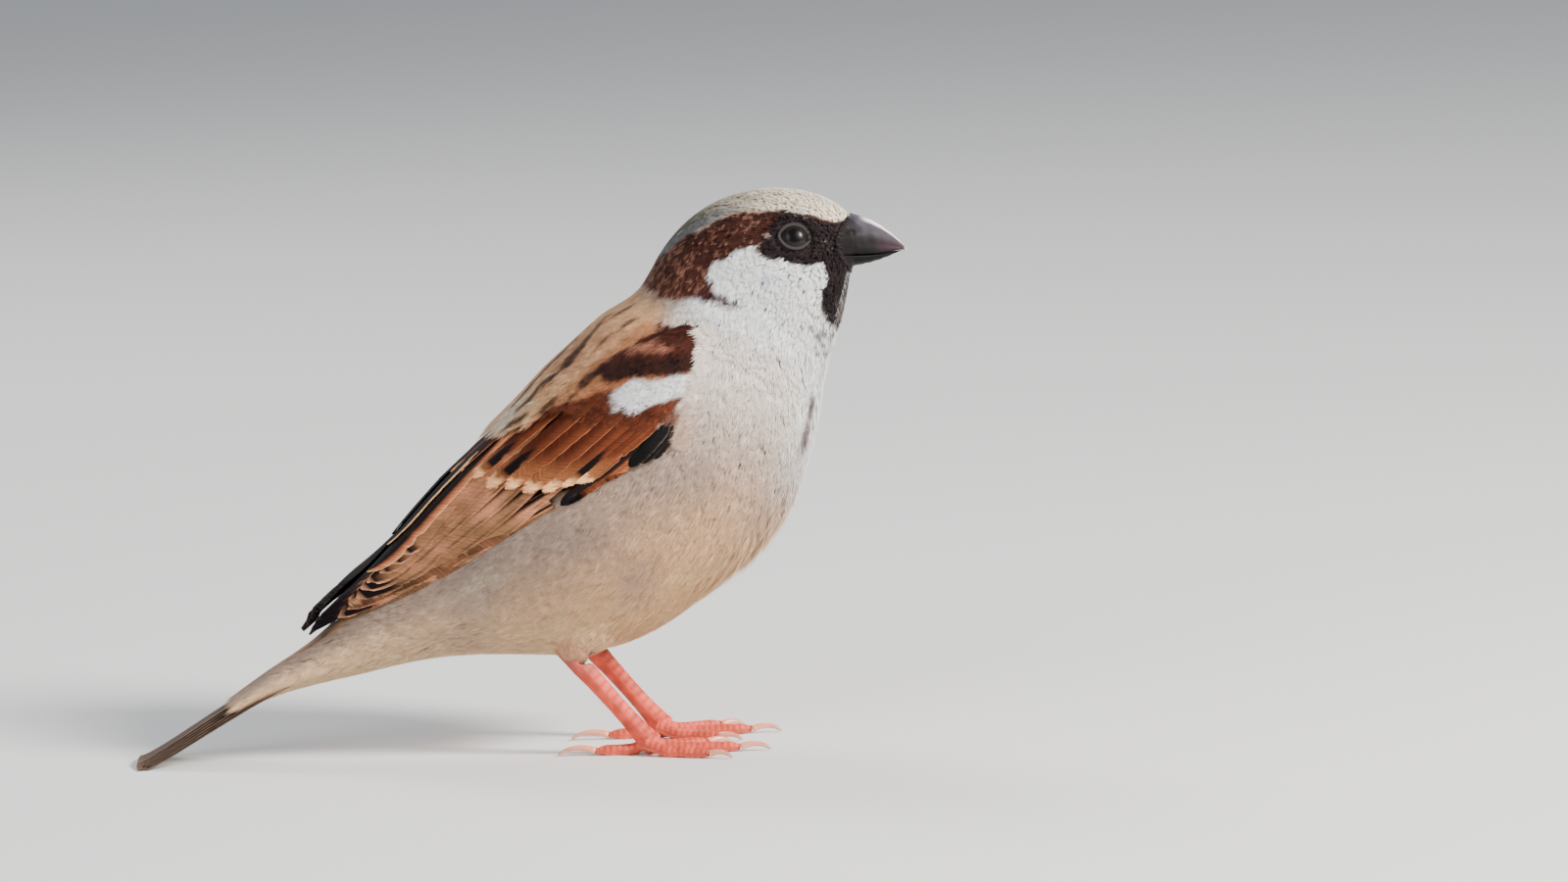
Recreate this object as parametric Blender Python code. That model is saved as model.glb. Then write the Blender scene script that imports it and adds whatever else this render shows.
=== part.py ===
"""A male house sparrow, life size, standing on a level floor with its wings folded.

Every size is in millimetres until it reaches a mesh. The bird is drawn from a point on the floor under
the ball of its right foot, facing +X with +Z up, and an empty then moves it so that the origin is
on the floor at the middle of its footprint. The body is one loft from the face to the tail tip, parted
into head, neck, trunk and tail by thin cuts. The folded wings lie on that loft's own surface.
"""

import math

import bmesh
import bpy
from mathutils import Matrix, Vector

MM = 0.001
FLOOR_NORMAL = Vector((0, 0, -1))

# Driving dimensions
GAP = 0.3  # clear space between neighbouring solids
BILL_TIP_X = 45.9
TAIL_TIP_X = -80.0
EYE_CENTRE = (27.9, 7.0, 82.0)  # the left eye, Y outwards
EYE_RADIUS = 3.1
RIGHT_FOOT = (2.1, -8.5)  # the ball of each foot, in plan
LEFT_FOOT = (3.9, 8.5)
RIGHT_HOCK = (-9.6, -9.4, 16.4)
LEFT_HOCK = (-7.9, 9.2, 16.2)
BALL_HEIGHT = 2.0
BALL_RADII = (1.7, 2.35, 1.65)
TARSUS_RADIUS = 1.25
TOE_RADIUS = 0.95
TOE_HEIGHT = 0.72  # the toe's middle above the floor, so its sole is a flat strip
CLAW_TIP_RADIUS = 0.25
CLAW_ROOT_RADIUS = 0.6
CLAW_BEND = 78  # degrees from root to tip
CLAW_RISE = 22  # degrees at which the claw leaves the toe
THIGH_RADII = (4.6, 4.3, 5.9)
THIGH_LEAN = -24
BILL_HALF_WIDTH = 3.75
BILL_STEPS = 10
BILL_SIDES = 10

# Each half of the bill: height of its ridge and of its cutting edge at the root, how far the ridge
# bulges and the edge sags between root and tip, its tip's height, and how far it stops short
BILL_HALVES = {
    "bill_upper": (83.7, 78.1, 0.75, -0.25, 78.4, 0.0),
    "bill_lower": (75.9, 77.8, -0.35, -0.25, 78.1, 0.9),
}

# Toes: heading outwards from straight ahead, length, claw length, sideways shift of the root
TOES = {
    "middle": (2, 14.6, 4.9, 0.0),
    "inner": (-23, 10.8, 4.1, -1.8),
    "outer": (25, 11.4, 4.1, 1.8),
    "hind": (183, 8.8, 6.2, 0.0),
}
# Places along a toe as shares of its length, with the height of its middle line and its girth there
TOE_STATIONS = (
    (0.00, BALL_HEIGHT, 1.00),
    (0.14, 1.5, 0.95),
    (0.27, 0.95, 0.95),
    (0.40, TOE_HEIGHT, 1.05),
    (0.55, TOE_HEIGHT + 0.1, 0.88),
    (0.70, TOE_HEIGHT, 1.00),
    (0.85, TOE_HEIGHT + 0.08, 0.84),
    (1.00, TOE_HEIGHT, 0.90),
)
TARSUS_GIRTHS = (1.3, 1.2, 1.06, 1.0, 0.96, 0.98, 1.1, 1.3)  # from the hock down to the ball

# Body sections from the face to the tail tip. Each one is a plane across the body, through a point of
# the upper outline and one of the lower: (upper x, upper z, lower x, lower z, half width)
SECTIONS = {
    "face": (36.7, 84.0, 36.9, 75.9, 3.9),
    "forehead": (34.4, 86.2, 36.4, 73.4, 6.2),
    "brow": (29.8, 88.1, 35.9, 70.8, 8.5),
    "crown": (23.2, 88.8, 35.1, 67.8, 10.0),
    "hind_crown": (16.2, 87.2, 34.1, 65.0, 10.9),
    "occiput": (10.2, 83.4, 33.1, 62.3, 11.3),
    "nape": (5.8, 78.0, 32.3, 59.4, 11.9),
    "neck": (3.2, 72.6, 31.7, 56.0, 13.4),
    "shoulder": (-2.0, 68.2, 30.9, 51.6, 16.2),
    "breast": (-8.4, 62.6, 29.3, 45.4, 18.8),
    "mantle": (-15.2, 56.2, 26.2, 38.2, 20.2),
    "belly": (-21.4, 50.6, 20.8, 31.0, 20.2),
    "low_belly": (-26.7, 45.3, 12.2, 24.2, 19.0),
    "flank": (-31.5, 40.2, 2.4, 17.9, 16.6),
    "thighs": (-36.0, 35.2, -8.5, 15.4, 13.4),
    "vent": (-40.4, 29.8, -21.5, 15.9, 10.6),
    "rump": (-45.4, 24.6, -33.0, 15.5, 8.6),
    "undertail": (-51.0, 19.0, -44.6, 13.2, 7.0),
    "tail_base": (-58.4, 14.4, -56.0, 10.9, 6.4),
    "tail_middle": (-67.6, 8.0, -66.8, 6.5, 6.6),
    "tail_end": (-76.4, 2.3, -75.8, 0.9, 7.3),
    "tail_tip": (TAIL_TIP_X, 0.6, TAIL_TIP_X + 0.4, -0.25, 7.2),
}
SECTION_ROWS = list(SECTIONS.values())
ROUNDNESS = 2.15  # superellipse exponent of the body's sections
RINGS_PER_SECTION = 2
BODY_SIDES = 28

# Thin cuts that part the body: a point (x, z) on each, and the tilt of its plane's normal above +X
CUTS = {
    "neck_top": ((19.0, 66.5), 55),
    "neck_base": ((15.5, 61.0), 62),
    "tail_root": ((-45.5, 17.4), 32),
}

# Folded wing. Each row is a place on the body loft: (section, angle of the upper edge, angle of the
# lower edge, thickness, lift off the body). Angles turn from the back's middle line down to the side.
WING_ROWS = (
    (6.9, 60, 72, 0.7, 0.0),
    (7.6, 49, 77, 1.4, 0.0),
    (8.6, 36, 83, 1.8, 0.0),
    (9.8, 22, 89, 2.0, 0.0),
    (10.6, 14, 83, 2.1, 0.0),
    (11.5, 9, 76, 2.2, 0.0),
    (12.4, 7, 72, 2.2, 0.1),
    (13.3, 6, 68, 2.2, 0.2),
    (14.2, 6, 63, 2.1, 0.4),
    (15.0, 7, 57, 1.9, 0.7),
    (15.8, 11, 49, 1.5, 1.3),
    (16.5, 18, 42, 1.0, 2.0),
    (17.0, 25, 37, 0.7, 2.5),
)
WING_SPLIT = 11.9  # section at which the coverts end and the flight feathers show
WING_COLUMNS = 9
WING_STEPS = 9


def mix(a, b, share):
    return a + (b - a) * share


def through(rows, place):
    """The row at a fractional place, on a smooth curve through all the rows (Catmull-Rom)."""
    last = len(rows) - 1
    i = min(int(place), last - 1)
    t = place - i
    p = [rows[max(0, min(last, i + k))] for k in (-1, 0, 1, 2)]
    return [
        0.5 * (2 * b + (c - a) * t + (2 * a - 5 * b + 4 * c - d) * t**2 + (3 * b - a - 3 * c + d) * t**3)
        for a, b, c, d in zip(*p)
    ]


def super_wave(value):
    """A cosine or sine bent so that the section is a superellipse."""
    return math.copysign(abs(value) ** (2 / ROUNDNESS), value)


def body_point(place, angle, grow=0.0):
    """A point on the body at a section, at an angle from the back's middle line, grown outwards."""
    upper_x, upper_z, lower_x, lower_z, half_width = through(SECTION_ROWS, place)
    upper = Vector((upper_x, 0, upper_z))
    lower = Vector((lower_x, 0, lower_z))
    half_depth = (upper - lower) / 2
    across = super_wave(math.sin(angle)) * (half_width + grow)
    up = super_wave(math.cos(angle)) * (half_depth.length + grow)
    return (upper + lower) / 2 + half_depth.normalized() * up + Vector((0, across, 0))


def new_collection(name):
    collection = bpy.data.collections.new(name)
    bpy.context.scene.collection.children.link(collection)
    return collection


def material(name, colour, roughness, metallic=0.0):
    made = bpy.data.materials.new(name)
    made.use_nodes = True
    surface = made.node_tree.nodes["Principled BSDF"]
    surface.inputs["Base Color"].default_value = (*colour, 1)
    surface.inputs["Roughness"].default_value = roughness
    surface.inputs["Metallic"].default_value = metallic
    return made


def add_part(name, mesh, finish):
    """A finished piece of the bird, under its own name."""
    part = bpy.data.objects.new(name, mesh)
    parts.objects.link(part)
    part.parent = placing
    mesh.materials.clear()
    mesh.materials.append(finish)
    mesh.shade_smooth()
    mesh.set_sharp_from_angle(angle=math.radians(40))
    return part


def loft(name, rings):
    """A closed mesh through rings of equal count, with a flat cap at each end."""
    count = len(rings[0])
    mesh = bpy.data.meshes.new(name)
    bm = bmesh.new()
    verts = [[bm.verts.new(Vector(p) * MM) for p in ring] for ring in rings]
    for one, two in zip(verts, verts[1:]):
        for i in range(count):
            j = (i + 1) % count
            bm.faces.new((one[i], one[j], two[j], two[i]))
    bm.faces.new(verts[0][::-1])
    bm.faces.new(verts[-1])
    if bm.calc_volume(signed=True) < 0:
        bmesh.ops.reverse_faces(bm, faces=bm.faces)
    bm.to_mesh(mesh)
    bm.free()
    return mesh


def ellipsoid(name, centre, radii, turn=None, segments=20, rings=10):
    """A sphere primitive stretched to its radii, turned and put in place."""
    mesh = bpy.data.meshes.new(name)
    bm = bmesh.new()
    bmesh.ops.create_uvsphere(bm, u_segments=segments, v_segments=rings, radius=1)
    scale = Matrix.Diagonal((*(r * MM for r in radii), 1))
    place = Matrix.Translation(Vector(centre) * MM)
    bm.transform(place @ (turn or Matrix.Identity(4)) @ scale)
    bm.to_mesh(mesh)
    bm.free()
    return mesh


def tube(name, points, radii, resolution=2):
    """A mesh tube along points, with its own radius at each of them."""
    curve = bpy.data.curves.new(name, "CURVE")
    curve.dimensions = "3D"
    curve.bevel_depth = MM
    curve.bevel_resolution = resolution
    curve.use_fill_caps = True
    spline = curve.splines.new("POLY")
    spline.points.add(len(points) - 1)
    for target, point, radius in zip(spline.points, points, radii):
        target.co = (*(Vector(point) * MM), 1)
        target.radius = radius
    holder = bpy.data.objects.new(name, curve)
    cutters.objects.link(holder)
    graph = bpy.context.evaluated_depsgraph_get()
    mesh = bpy.data.meshes.new_from_object(holder.evaluated_get(graph))
    bpy.data.objects.remove(holder)
    bm = bmesh.new()
    bm.from_mesh(mesh)
    bmesh.ops.remove_doubles(bm, verts=bm.verts, dist=0.01 * MM)
    bm.to_mesh(mesh)
    bm.free()
    return mesh


def cut_flat(mesh, point, normal):
    """Takes off what lies beyond a plane and closes the cut."""
    bm = bmesh.new()
    bm.from_mesh(mesh)
    geometry = [*bm.verts, *bm.edges, *bm.faces]
    cut = bmesh.ops.bisect_plane(
        bm, geom=geometry, plane_co=Vector(point) * MM, plane_no=normal, clear_outer=True, dist=1e-7
    )
    rim = [e for e in cut["geom_cut"] if isinstance(e, bmesh.types.BMEdge)]
    bmesh.ops.holes_fill(bm, edges=rim)
    bmesh.ops.recalc_face_normals(bm, faces=bm.faces)
    if bm.calc_volume(signed=True) < 0:
        bmesh.ops.reverse_faces(bm, faces=bm.faces)
    bm.to_mesh(mesh)
    bm.free()


def cutter(name, mesh):
    made = bpy.data.objects.new(name, mesh)
    cutters.objects.link(made)
    made.parent = placing
    made.hide_render = True
    made.display_type = "WIRE"
    return made


def combine(part, other, operation):
    """Joins or cuts a part with another object, kept as a modifier."""
    step = part.modifiers.new(f"{operation.lower()}_{other.name}", "BOOLEAN")
    step.operation = operation
    step.object = other
    step.solver = "EXACT"


def body_rings(grow=0.0):
    """The whole body's rings, from the face to the tail tip."""
    steps = (len(SECTION_ROWS) - 1) * RINGS_PER_SECTION
    turns = [2 * math.pi * i / BODY_SIDES for i in range(BODY_SIDES)]
    return [[body_point(s / RINGS_PER_SECTION, a, grow) for a in turns] for s in range(steps + 1)]


def cut_plane(name, side):
    """A point and an outward normal of one side of a thin cut: +1 faces the head, -1 faces the tail."""
    (x, z), tilt = CUTS[name]
    normal = Vector((math.cos(math.radians(tilt)), 0, math.sin(math.radians(tilt))))
    return Vector((x, 0, z)) - normal * side * GAP / 2, normal * side


def build_body():
    """Head, neck, trunk and tail, parted from one loft."""
    lengths = {
        "head": (None, "neck_top"),
        "neck": ("neck_top", "neck_base"),
        "trunk": ("neck_base", "tail_root"),
        "tail": ("tail_root", None),
    }
    finish = {"head": crown_grey, "neck": cheek_white, "trunk": breast_white, "tail": tail_brown}
    made = {}
    for name, (front_cut, back_cut) in lengths.items():
        mesh = loft(name, body_rings())
        if front_cut:
            cut_flat(mesh, *cut_plane(front_cut, 1))
        if back_cut:
            cut_flat(mesh, *cut_plane(back_cut, -1))
        if name == "tail":
            cut_flat(mesh, (0, 0, 0), FLOOR_NORMAL)
        made[name] = add_part(name, mesh, finish[name])
    return made


def build_eyes(head):
    x, y, z = EYE_CENTRE
    for side, way in (("right", -1), ("left", 1)):
        centre = (x, way * y, z)
        add_part(f"eye_{side}", ellipsoid("eye", centre, (EYE_RADIUS,) * 3), eye_black)
        socket = ellipsoid("socket", centre, (EYE_RADIUS + GAP,) * 3)
        combine(head, cutter(f"socket_{side}", socket), "DIFFERENCE")


def build_bill():
    """Two halves, each a ridge that narrows from the face to the tip over its cutting edge."""
    root_x = SECTIONS["face"][0] + 0.25 + GAP
    for name, (root_ridge, root_edge, ridge_bulge, edge_sag, tip_height, shortfall) in BILL_HALVES.items():
        rings = []
        for step in range(BILL_STEPS + 1):
            share = step / BILL_STEPS
            x = mix(root_x, BILL_TIP_X - shortfall, share)
            taper = max((1 - share) ** 0.85, 0.07)
            swell = math.sin(math.pi * share)
            edge = mix(root_edge, tip_height, share) + edge_sag * swell
            ridge = mix(root_ridge, tip_height, share) + ridge_bulge * swell
            rise = math.copysign(max(abs(ridge - edge), 0.28), ridge - edge)
            arc = [math.pi * i / BILL_SIDES for i in range(BILL_SIDES + 1)]
            half_width = BILL_HALF_WIDTH * taper
            rings.append([(x, half_width * math.cos(a), edge + rise * math.sin(a) ** 0.9) for a in arc])
        add_part(name, loft(name, rings), bill_slate)


def wing_mesh(name, way, start, end):
    """A stretch of the folded wing: a slab on the body, thick in the middle and thin at its edges."""
    rings = []
    last = len(WING_ROWS) - 1
    for step in range(WING_STEPS + 1):
        place = mix(start, end, step / WING_STEPS)
        section, top, low, thick, lift = through(WING_ROWS, place * last)
        inner, outer = [], []
        for column in range(WING_COLUMNS + 1):
            share = column / WING_COLUMNS
            angle = way * math.radians(mix(top, low, share))
            depth = mix(0.55, thick, math.sin(math.pi * share) ** 0.7)
            inner.append(body_point(section, angle, GAP + lift))
            outer.append(body_point(section, angle, GAP + lift + depth))
        rings.append(inner + outer[::-1])
    return loft(name, rings)


def wing_share(section):
    """How far along the wing's rows a body section lies."""
    rows = WING_ROWS
    last = len(rows) - 1
    low, high = 0.0, 1.0
    for _ in range(30):
        middle = (low + high) / 2
        if through(rows, middle * last)[0] < section:
            low = middle
        else:
            high = middle
    return low


def build_wings():
    split = wing_share(WING_SPLIT)
    seam = 0.012  # share of the wing's length left clear between its two stretches
    for side, way in (("right", -1), ("left", 1)):
        coverts = wing_mesh(f"wing_{side}", way, 0.0, split)
        flight = wing_mesh(f"flight_{side}", way, split + seam, 1.0)
        add_part(f"wing_{side}", coverts, wing_chestnut)
        add_part(f"flight_{side}", flight, flight_brown)


def build_toe(name, side, ball, heading, length, claw_length, inset):
    """A toe from the ball of the foot down to the floor and along it over its pads, then its claw."""
    forward = Vector((math.cos(heading), math.sin(heading), 0))
    sideways = Vector((-math.sin(heading), math.cos(heading), 0))
    start = Vector(ball) + sideways * inset
    points = []
    for reach, height, _ in TOE_STATIONS:
        point = start + forward * reach * length
        point.z = height
        points.append(point)
    mesh = tube("toe", points, [TOE_RADIUS * girth for _, _, girth in TOE_STATIONS])
    cut_flat(mesh, (0, 0, 0), FLOOR_NORMAL)
    toe = add_part(f"toe_{name}_{side}", mesh, leg_pink)
    combine(toe, bpy.data.objects[f"ball_room_{side}"], "DIFFERENCE")

    root = points[-1] + forward * GAP
    turn = math.radians(CLAW_BEND)
    rise = math.radians(CLAW_RISE)
    bend_radius = claw_length / turn
    shares = [i / 6 for i in range(7)]
    line = []
    for share in shares:
        angle = rise - turn * share
        along = bend_radius * (math.sin(rise) - math.sin(angle))
        up = bend_radius * (math.cos(angle) - math.cos(rise))
        line.append(root + forward * along + Vector((0, 0, up)))
    drop = line[-1].z - (CLAW_TIP_RADIUS + 0.05)
    line = [p - Vector((0, 0, drop * share**1.5)) for p, share in zip(line, shares)]
    radii = [mix(CLAW_ROOT_RADIUS, CLAW_TIP_RADIUS, share**0.9) for share in shares]
    add_part(f"claw_{name}_{side}", tube("claw", line, radii), claw_horn)


def build_leg(side, way, foot, hock):
    """A feathered thigh, the bare tarsus with the ball of the foot, four toes and their claws."""
    ball = Vector((*foot, BALL_HEIGHT))
    hock = Vector(hock)
    lean = Matrix.Rotation(math.radians(THIGH_LEAN), 4, "Y")
    centre = hock + Vector((0.9, -way * 0.5, 4.0))
    thigh = add_part(f"thigh_{side}", ellipsoid("thigh", centre, THIGH_RADII, lean), belly_buff)
    combine(thigh, bpy.data.objects["body_room"], "DIFFERENCE")

    last = len(TARSUS_GIRTHS) - 1
    shin = [hock.lerp(ball, i / last) for i in range(last + 1)]
    shin[0] = hock + (hock - ball).normalized() * 1.2
    radii = [TARSUS_RADIUS * girth for girth in TARSUS_GIRTHS]
    tarsus = add_part(f"tarsus_{side}", tube("tarsus", shin, radii, resolution=3), leg_pink)
    joined = cutter(f"ball_{side}", ellipsoid("ball", ball, BALL_RADII, segments=16, rings=8))
    combine(tarsus, joined, "UNION")
    room = cutter(f"thigh_room_{side}", ellipsoid("room", centre, [r + GAP for r in THIGH_RADII], lean))
    combine(tarsus, room, "DIFFERENCE")

    ball_room = [r + GAP for r in BALL_RADII]
    cutter(f"ball_room_{side}", ellipsoid("ball_room", ball, ball_room, segments=16, rings=8))
    for name, (heading, length, claw, inset) in TOES.items():
        build_toe(name, side, ball, math.radians(way * heading), length, claw, way * inset)


for old in list(bpy.data.objects):
    bpy.data.objects.remove(old)
parts = new_collection("house_sparrow")
cutters = new_collection("cutters")
placing = bpy.data.objects.new("placing", None)
parts.objects.link(placing)
placing.location.x = -(BILL_TIP_X + TAIL_TIP_X) / 2 * MM

crown_grey = material("crown_grey", (0.48, 0.45, 0.41), 0.8)
cheek_white = material("cheek_white", (0.85, 0.83, 0.82), 0.8)
breast_white = material("breast_white", (0.72, 0.66, 0.60), 0.8)
belly_buff = material("belly_buff", (0.62, 0.53, 0.44), 0.8)
tail_brown = material("tail_brown", (0.30, 0.23, 0.19), 0.75)
wing_chestnut = material("wing_chestnut", (0.30, 0.10, 0.05), 0.75)
flight_brown = material("flight_brown", (0.38, 0.20, 0.11), 0.7)
bill_slate = material("bill_slate", (0.06, 0.06, 0.07), 0.35)
eye_black = material("eye_black", (0.01, 0.008, 0.007), 0.08)
leg_pink = material("leg_pink", (0.70, 0.26, 0.18), 0.5)
claw_horn = material("claw_horn", (0.66, 0.38, 0.24), 0.4)

cutter("body_room", loft("body_room", body_rings(GAP)))
body = build_body()
build_eyes(body["head"])
build_bill()
build_wings()
build_leg("right", -1, RIGHT_FOOT, RIGHT_HOCK)
build_leg("left", 1, LEFT_FOOT, LEFT_HOCK)
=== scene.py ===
"""How the house sparrow looks: one skin, a plumage of solid mesh, horn, eyes and scaly legs.

Lengths are in millimetres until a mesh is made. A place on the body is a station along the spine and
an angle: 0 on the back's middle line, growing down the bird's left side and falling down its right.
In the functions s is a station, a an angle in radians, d degrees off the back's middle line, p points,
and way is 1 on the bird's left side and -1 on its right. Display levels run from 0 to 255.
"""

import math

import bmesh
import bpy
import numpy as np
from mathutils import Matrix, Vector
from mathutils.bvhtree import BVHTree
from mathutils.kdtree import KDTree


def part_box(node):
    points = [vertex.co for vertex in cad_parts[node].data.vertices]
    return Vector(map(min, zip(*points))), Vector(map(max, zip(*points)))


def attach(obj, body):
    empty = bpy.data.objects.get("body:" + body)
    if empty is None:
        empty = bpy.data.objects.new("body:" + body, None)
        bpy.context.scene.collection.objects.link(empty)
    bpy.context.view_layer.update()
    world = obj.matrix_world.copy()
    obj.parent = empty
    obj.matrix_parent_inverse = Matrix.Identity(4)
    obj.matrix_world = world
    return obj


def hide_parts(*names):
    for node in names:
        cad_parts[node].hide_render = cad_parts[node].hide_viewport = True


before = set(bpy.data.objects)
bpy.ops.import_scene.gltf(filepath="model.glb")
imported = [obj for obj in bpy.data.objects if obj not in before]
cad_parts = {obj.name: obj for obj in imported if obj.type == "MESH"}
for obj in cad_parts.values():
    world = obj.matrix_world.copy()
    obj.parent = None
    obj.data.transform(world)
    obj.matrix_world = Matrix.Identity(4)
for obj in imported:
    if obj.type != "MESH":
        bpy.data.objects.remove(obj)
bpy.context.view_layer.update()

MM = 0.001
SIDES = (("right", -1), ("left", 1))
rng = np.random.default_rng(11)

# The spine: (x, z, lean of the slice through that point, in degrees back from upright)
SPINE = np.array([
    (53.9, 80.0, 1),
    (49.9, 79.4, 19),
    (42.2, 76.1, 39),
    (36.1, 68.7, 55),
    (31.5, 59.9, 63),
    (22.6, 47.2, 66),
    (9.8, 34.8, 61),
    (-5.2, 25.3, 54),
    (-22.2, 20.0, 54),
    (-40.2, 12.6, 34),
    (-59.0, 1.7, 23),
    (-62.75, 0.25, 22),
])
LAST = len(SPINE) - 1
STATIONS = np.linspace(0, LAST, 460)
ANGLES = np.linspace(-math.pi, math.pi, 289)
FLESH = ("head", "neck", "trunk", "tail", "thigh_right", "thigh_left")
WINGS = ("wing_right", "wing_left", "flight_right", "flight_left")


def through(rows, places):
    """Rows at fractional places, on a smooth curve through all of them."""
    rows = np.asarray(rows, float)
    places = np.asarray(places, float)
    last = len(rows) - 1
    i = np.clip(places.astype(int), 0, last - 1)
    t = (places - i)[..., None]
    a, b, c, d = (rows[np.clip(i + k, 0, last)] for k in (-1, 0, 1, 2))
    square, cube = 2 * a - 5 * b + 4 * c - d, 3 * b - a - 3 * c + d
    return 0.5 * (2 * b + (c - a) * t + square * t**2 + cube * t**3)


def unit(vectors):
    return vectors / np.maximum(np.linalg.norm(vectors, axis=-1, keepdims=True), 1e-12)


def off_back(a):
    """Radians off the back's middle line, from 0 to pi, alike on both sides."""
    return np.abs((a + math.pi) % (2 * math.pi) - math.pi)


def degrees_off_back(a):
    return np.degrees(off_back(a))


def blur(grid, sigma_s, sigma_a):
    """A Gaussian blur of a station by angle grid, wrapped in angle. The last column repeats the first."""
    out = grid[:, :-1]
    for axis, sigma in ((0, sigma_s), (1, sigma_a)):
        reach = int(3 * sigma) + 1
        weights = np.exp(-0.5 * (np.arange(-reach, reach + 1) / sigma) ** 2)
        weights /= weights.sum()
        width = [(0, 0)] * out.ndim
        width[axis] = (reach, reach)
        padded = np.pad(out, width, mode="edge" if axis == 0 else "wrap")
        size = out.shape[axis]
        out = sum(w * np.take(padded, range(k, k + size), axis) for k, w in enumerate(weights))
    return np.concatenate([out, out[:, :1]], axis=1)


def eye_place(side):
    low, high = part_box(f"eye_{side}")
    return np.array((low + high) / 2) / MM, (high.z - low.z) / 2 / MM


RAY_START = 60.0  # mm from the spine, well outside the bird
EYE_MARGIN = 0.6  # mm round each eye solid where its socket would dent the surface
WINDOW = 15  # stations compared with each other to find the cuts between the solids
BRIDGE_ROUNDS = 400


def cast_envelope():
    """How far the plumage reaches from the spine, on the grid, with the cuts and eye sockets bridged."""
    verts, polys = [], []
    for name in FLESH:
        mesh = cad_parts[name].data
        polys += [[len(verts) + v for v in p.vertices] for p in mesh.polygons]
        verts += [v.co / MM for v in mesh.vertices]
    tree = BVHTree.FromPolygons(verts, polys)
    eyes = [eye_place(side) for side, _ in SIDES]
    reach = np.full((len(STATIONS), len(ANGLES)), np.nan)
    for i, (x, z, lean) in enumerate(through(SPINE, STATIONS)):
        lean = math.radians(lean)
        up = Vector((-math.sin(lean), 0, math.cos(lean)))
        centre = Vector((x, 0, z))
        for j, angle in enumerate(ANGLES):
            way = up * math.cos(angle) + Vector((0, math.sin(angle), 0))
            hit, _, _, distance = tree.ray_cast(centre + way * RAY_START, -way, RAY_START)
            if hit and all(np.linalg.norm(np.array(hit) - c) > r + EYE_MARGIN for c, r in eyes):
                reach[i, j] = RAY_START - distance
    padded = np.pad(reach, ((WINDOW // 2, WINDOW // 2), (0, 0)), mode="edge")
    windows = np.lib.stride_tricks.sliding_window_view(padded, WINDOW, axis=0)
    usual = np.nanmedian(windows, axis=-1)
    known = np.isfinite(reach) & ~(np.abs(reach - usual) > 0.06 * usual + 0.35)
    filled = np.where(known, reach, np.nan_to_num(usual, nan=5.0))
    for _ in range(BRIDGE_ROUNDS):
        filled = np.where(known, reach, blur(filled, 1.0, 1.0))
    return blur(filled, 4.0, 4.0)


class Surface:
    """Points, normals and step sizes on the grid, read anywhere between its nodes."""

    def __init__(self, reach):
        x, z, lean = through(SPINE, STATIONS).T
        lean = np.radians(lean)
        zero = np.zeros_like(x)
        self.middle = np.stack([x, zero, z], -1)
        up = np.stack([-np.sin(lean), zero, np.cos(lean)], -1)
        side = np.array([0.0, 1.0, 0.0])
        way = up[:, None] * np.cos(ANGLES)[None, :, None] + side * np.sin(ANGLES)[None, :, None]
        self.points = self.middle[:, None] + way * reach[..., None]
        self.along = np.gradient(self.points, STATIONS, axis=0)
        wrapped = np.concatenate([self.points[:, -2:-1], self.points, self.points[:, 1:2]], axis=1)
        self.around = (wrapped[:, 2:] - wrapped[:, :-2]) / (2 * (ANGLES[1] - ANGLES[0]))
        self.normals = unit(blur(unit(np.cross(self.along, self.around)), 2, 2))
        outward = (self.normals * way).sum(-1, keepdims=True)
        self.normals *= np.sign(np.median(outward))
        self.tables = np.concatenate([
            self.points, self.normals,
            np.linalg.norm(self.along, axis=-1, keepdims=True),
            np.linalg.norm(self.around, axis=-1, keepdims=True),
        ], axis=-1)

    def read(self, station, angle):
        """Point, normal, and millimetres per unit of station and per radian of angle."""
        f = np.clip(np.asarray(station, float) / LAST, 0, 1) * (len(STATIONS) - 1)
        g = (np.asarray(angle, float) + math.pi) % (2 * math.pi) / (2 * math.pi) * (len(ANGLES) - 1)
        i = np.minimum(f.astype(int), len(STATIONS) - 2)
        j = np.minimum(g.astype(int), len(ANGLES) - 2)
        s, t = (f - i)[..., None], (g - j)[..., None]
        rows = (self.tables[i, j] * (1 - s) + self.tables[i + 1, j] * s) * (1 - t)
        rows = rows + (self.tables[i, j + 1] * (1 - s) + self.tables[i + 1, j + 1] * s) * t
        return rows[..., 0:3], unit(rows[..., 3:6]), rows[..., 6], rows[..., 7]


# The face narrows towards the bill's root: how much of its half width goes, by station
MUZZLE = ((0.0, 0.45, 1.1), (0.2, 0.18, 0.0))
slimming = np.interp(STATIONS, *MUZZLE)[:, None] * np.sin(ANGLES) ** 2
plumage = Surface(cast_envelope() * (1 - slimming))

# ---------------------------------------------------------------- colour and noise


def shade(red, green, blue):
    """The linear tint that looks like these display levels of 0 to 255 under the studio's light."""
    level = np.array([red, green, blue]) / 255
    linear = np.where(level <= 0.04045, level / 12.92, ((level + 0.055) / 1.055) ** 2.4)
    lift = np.interp(linear, (0.0, 0.35, 0.5, 0.65), (0.70, 0.74, 1.02, 1.32))
    return np.minimum(linear * lift, 0.92)


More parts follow.
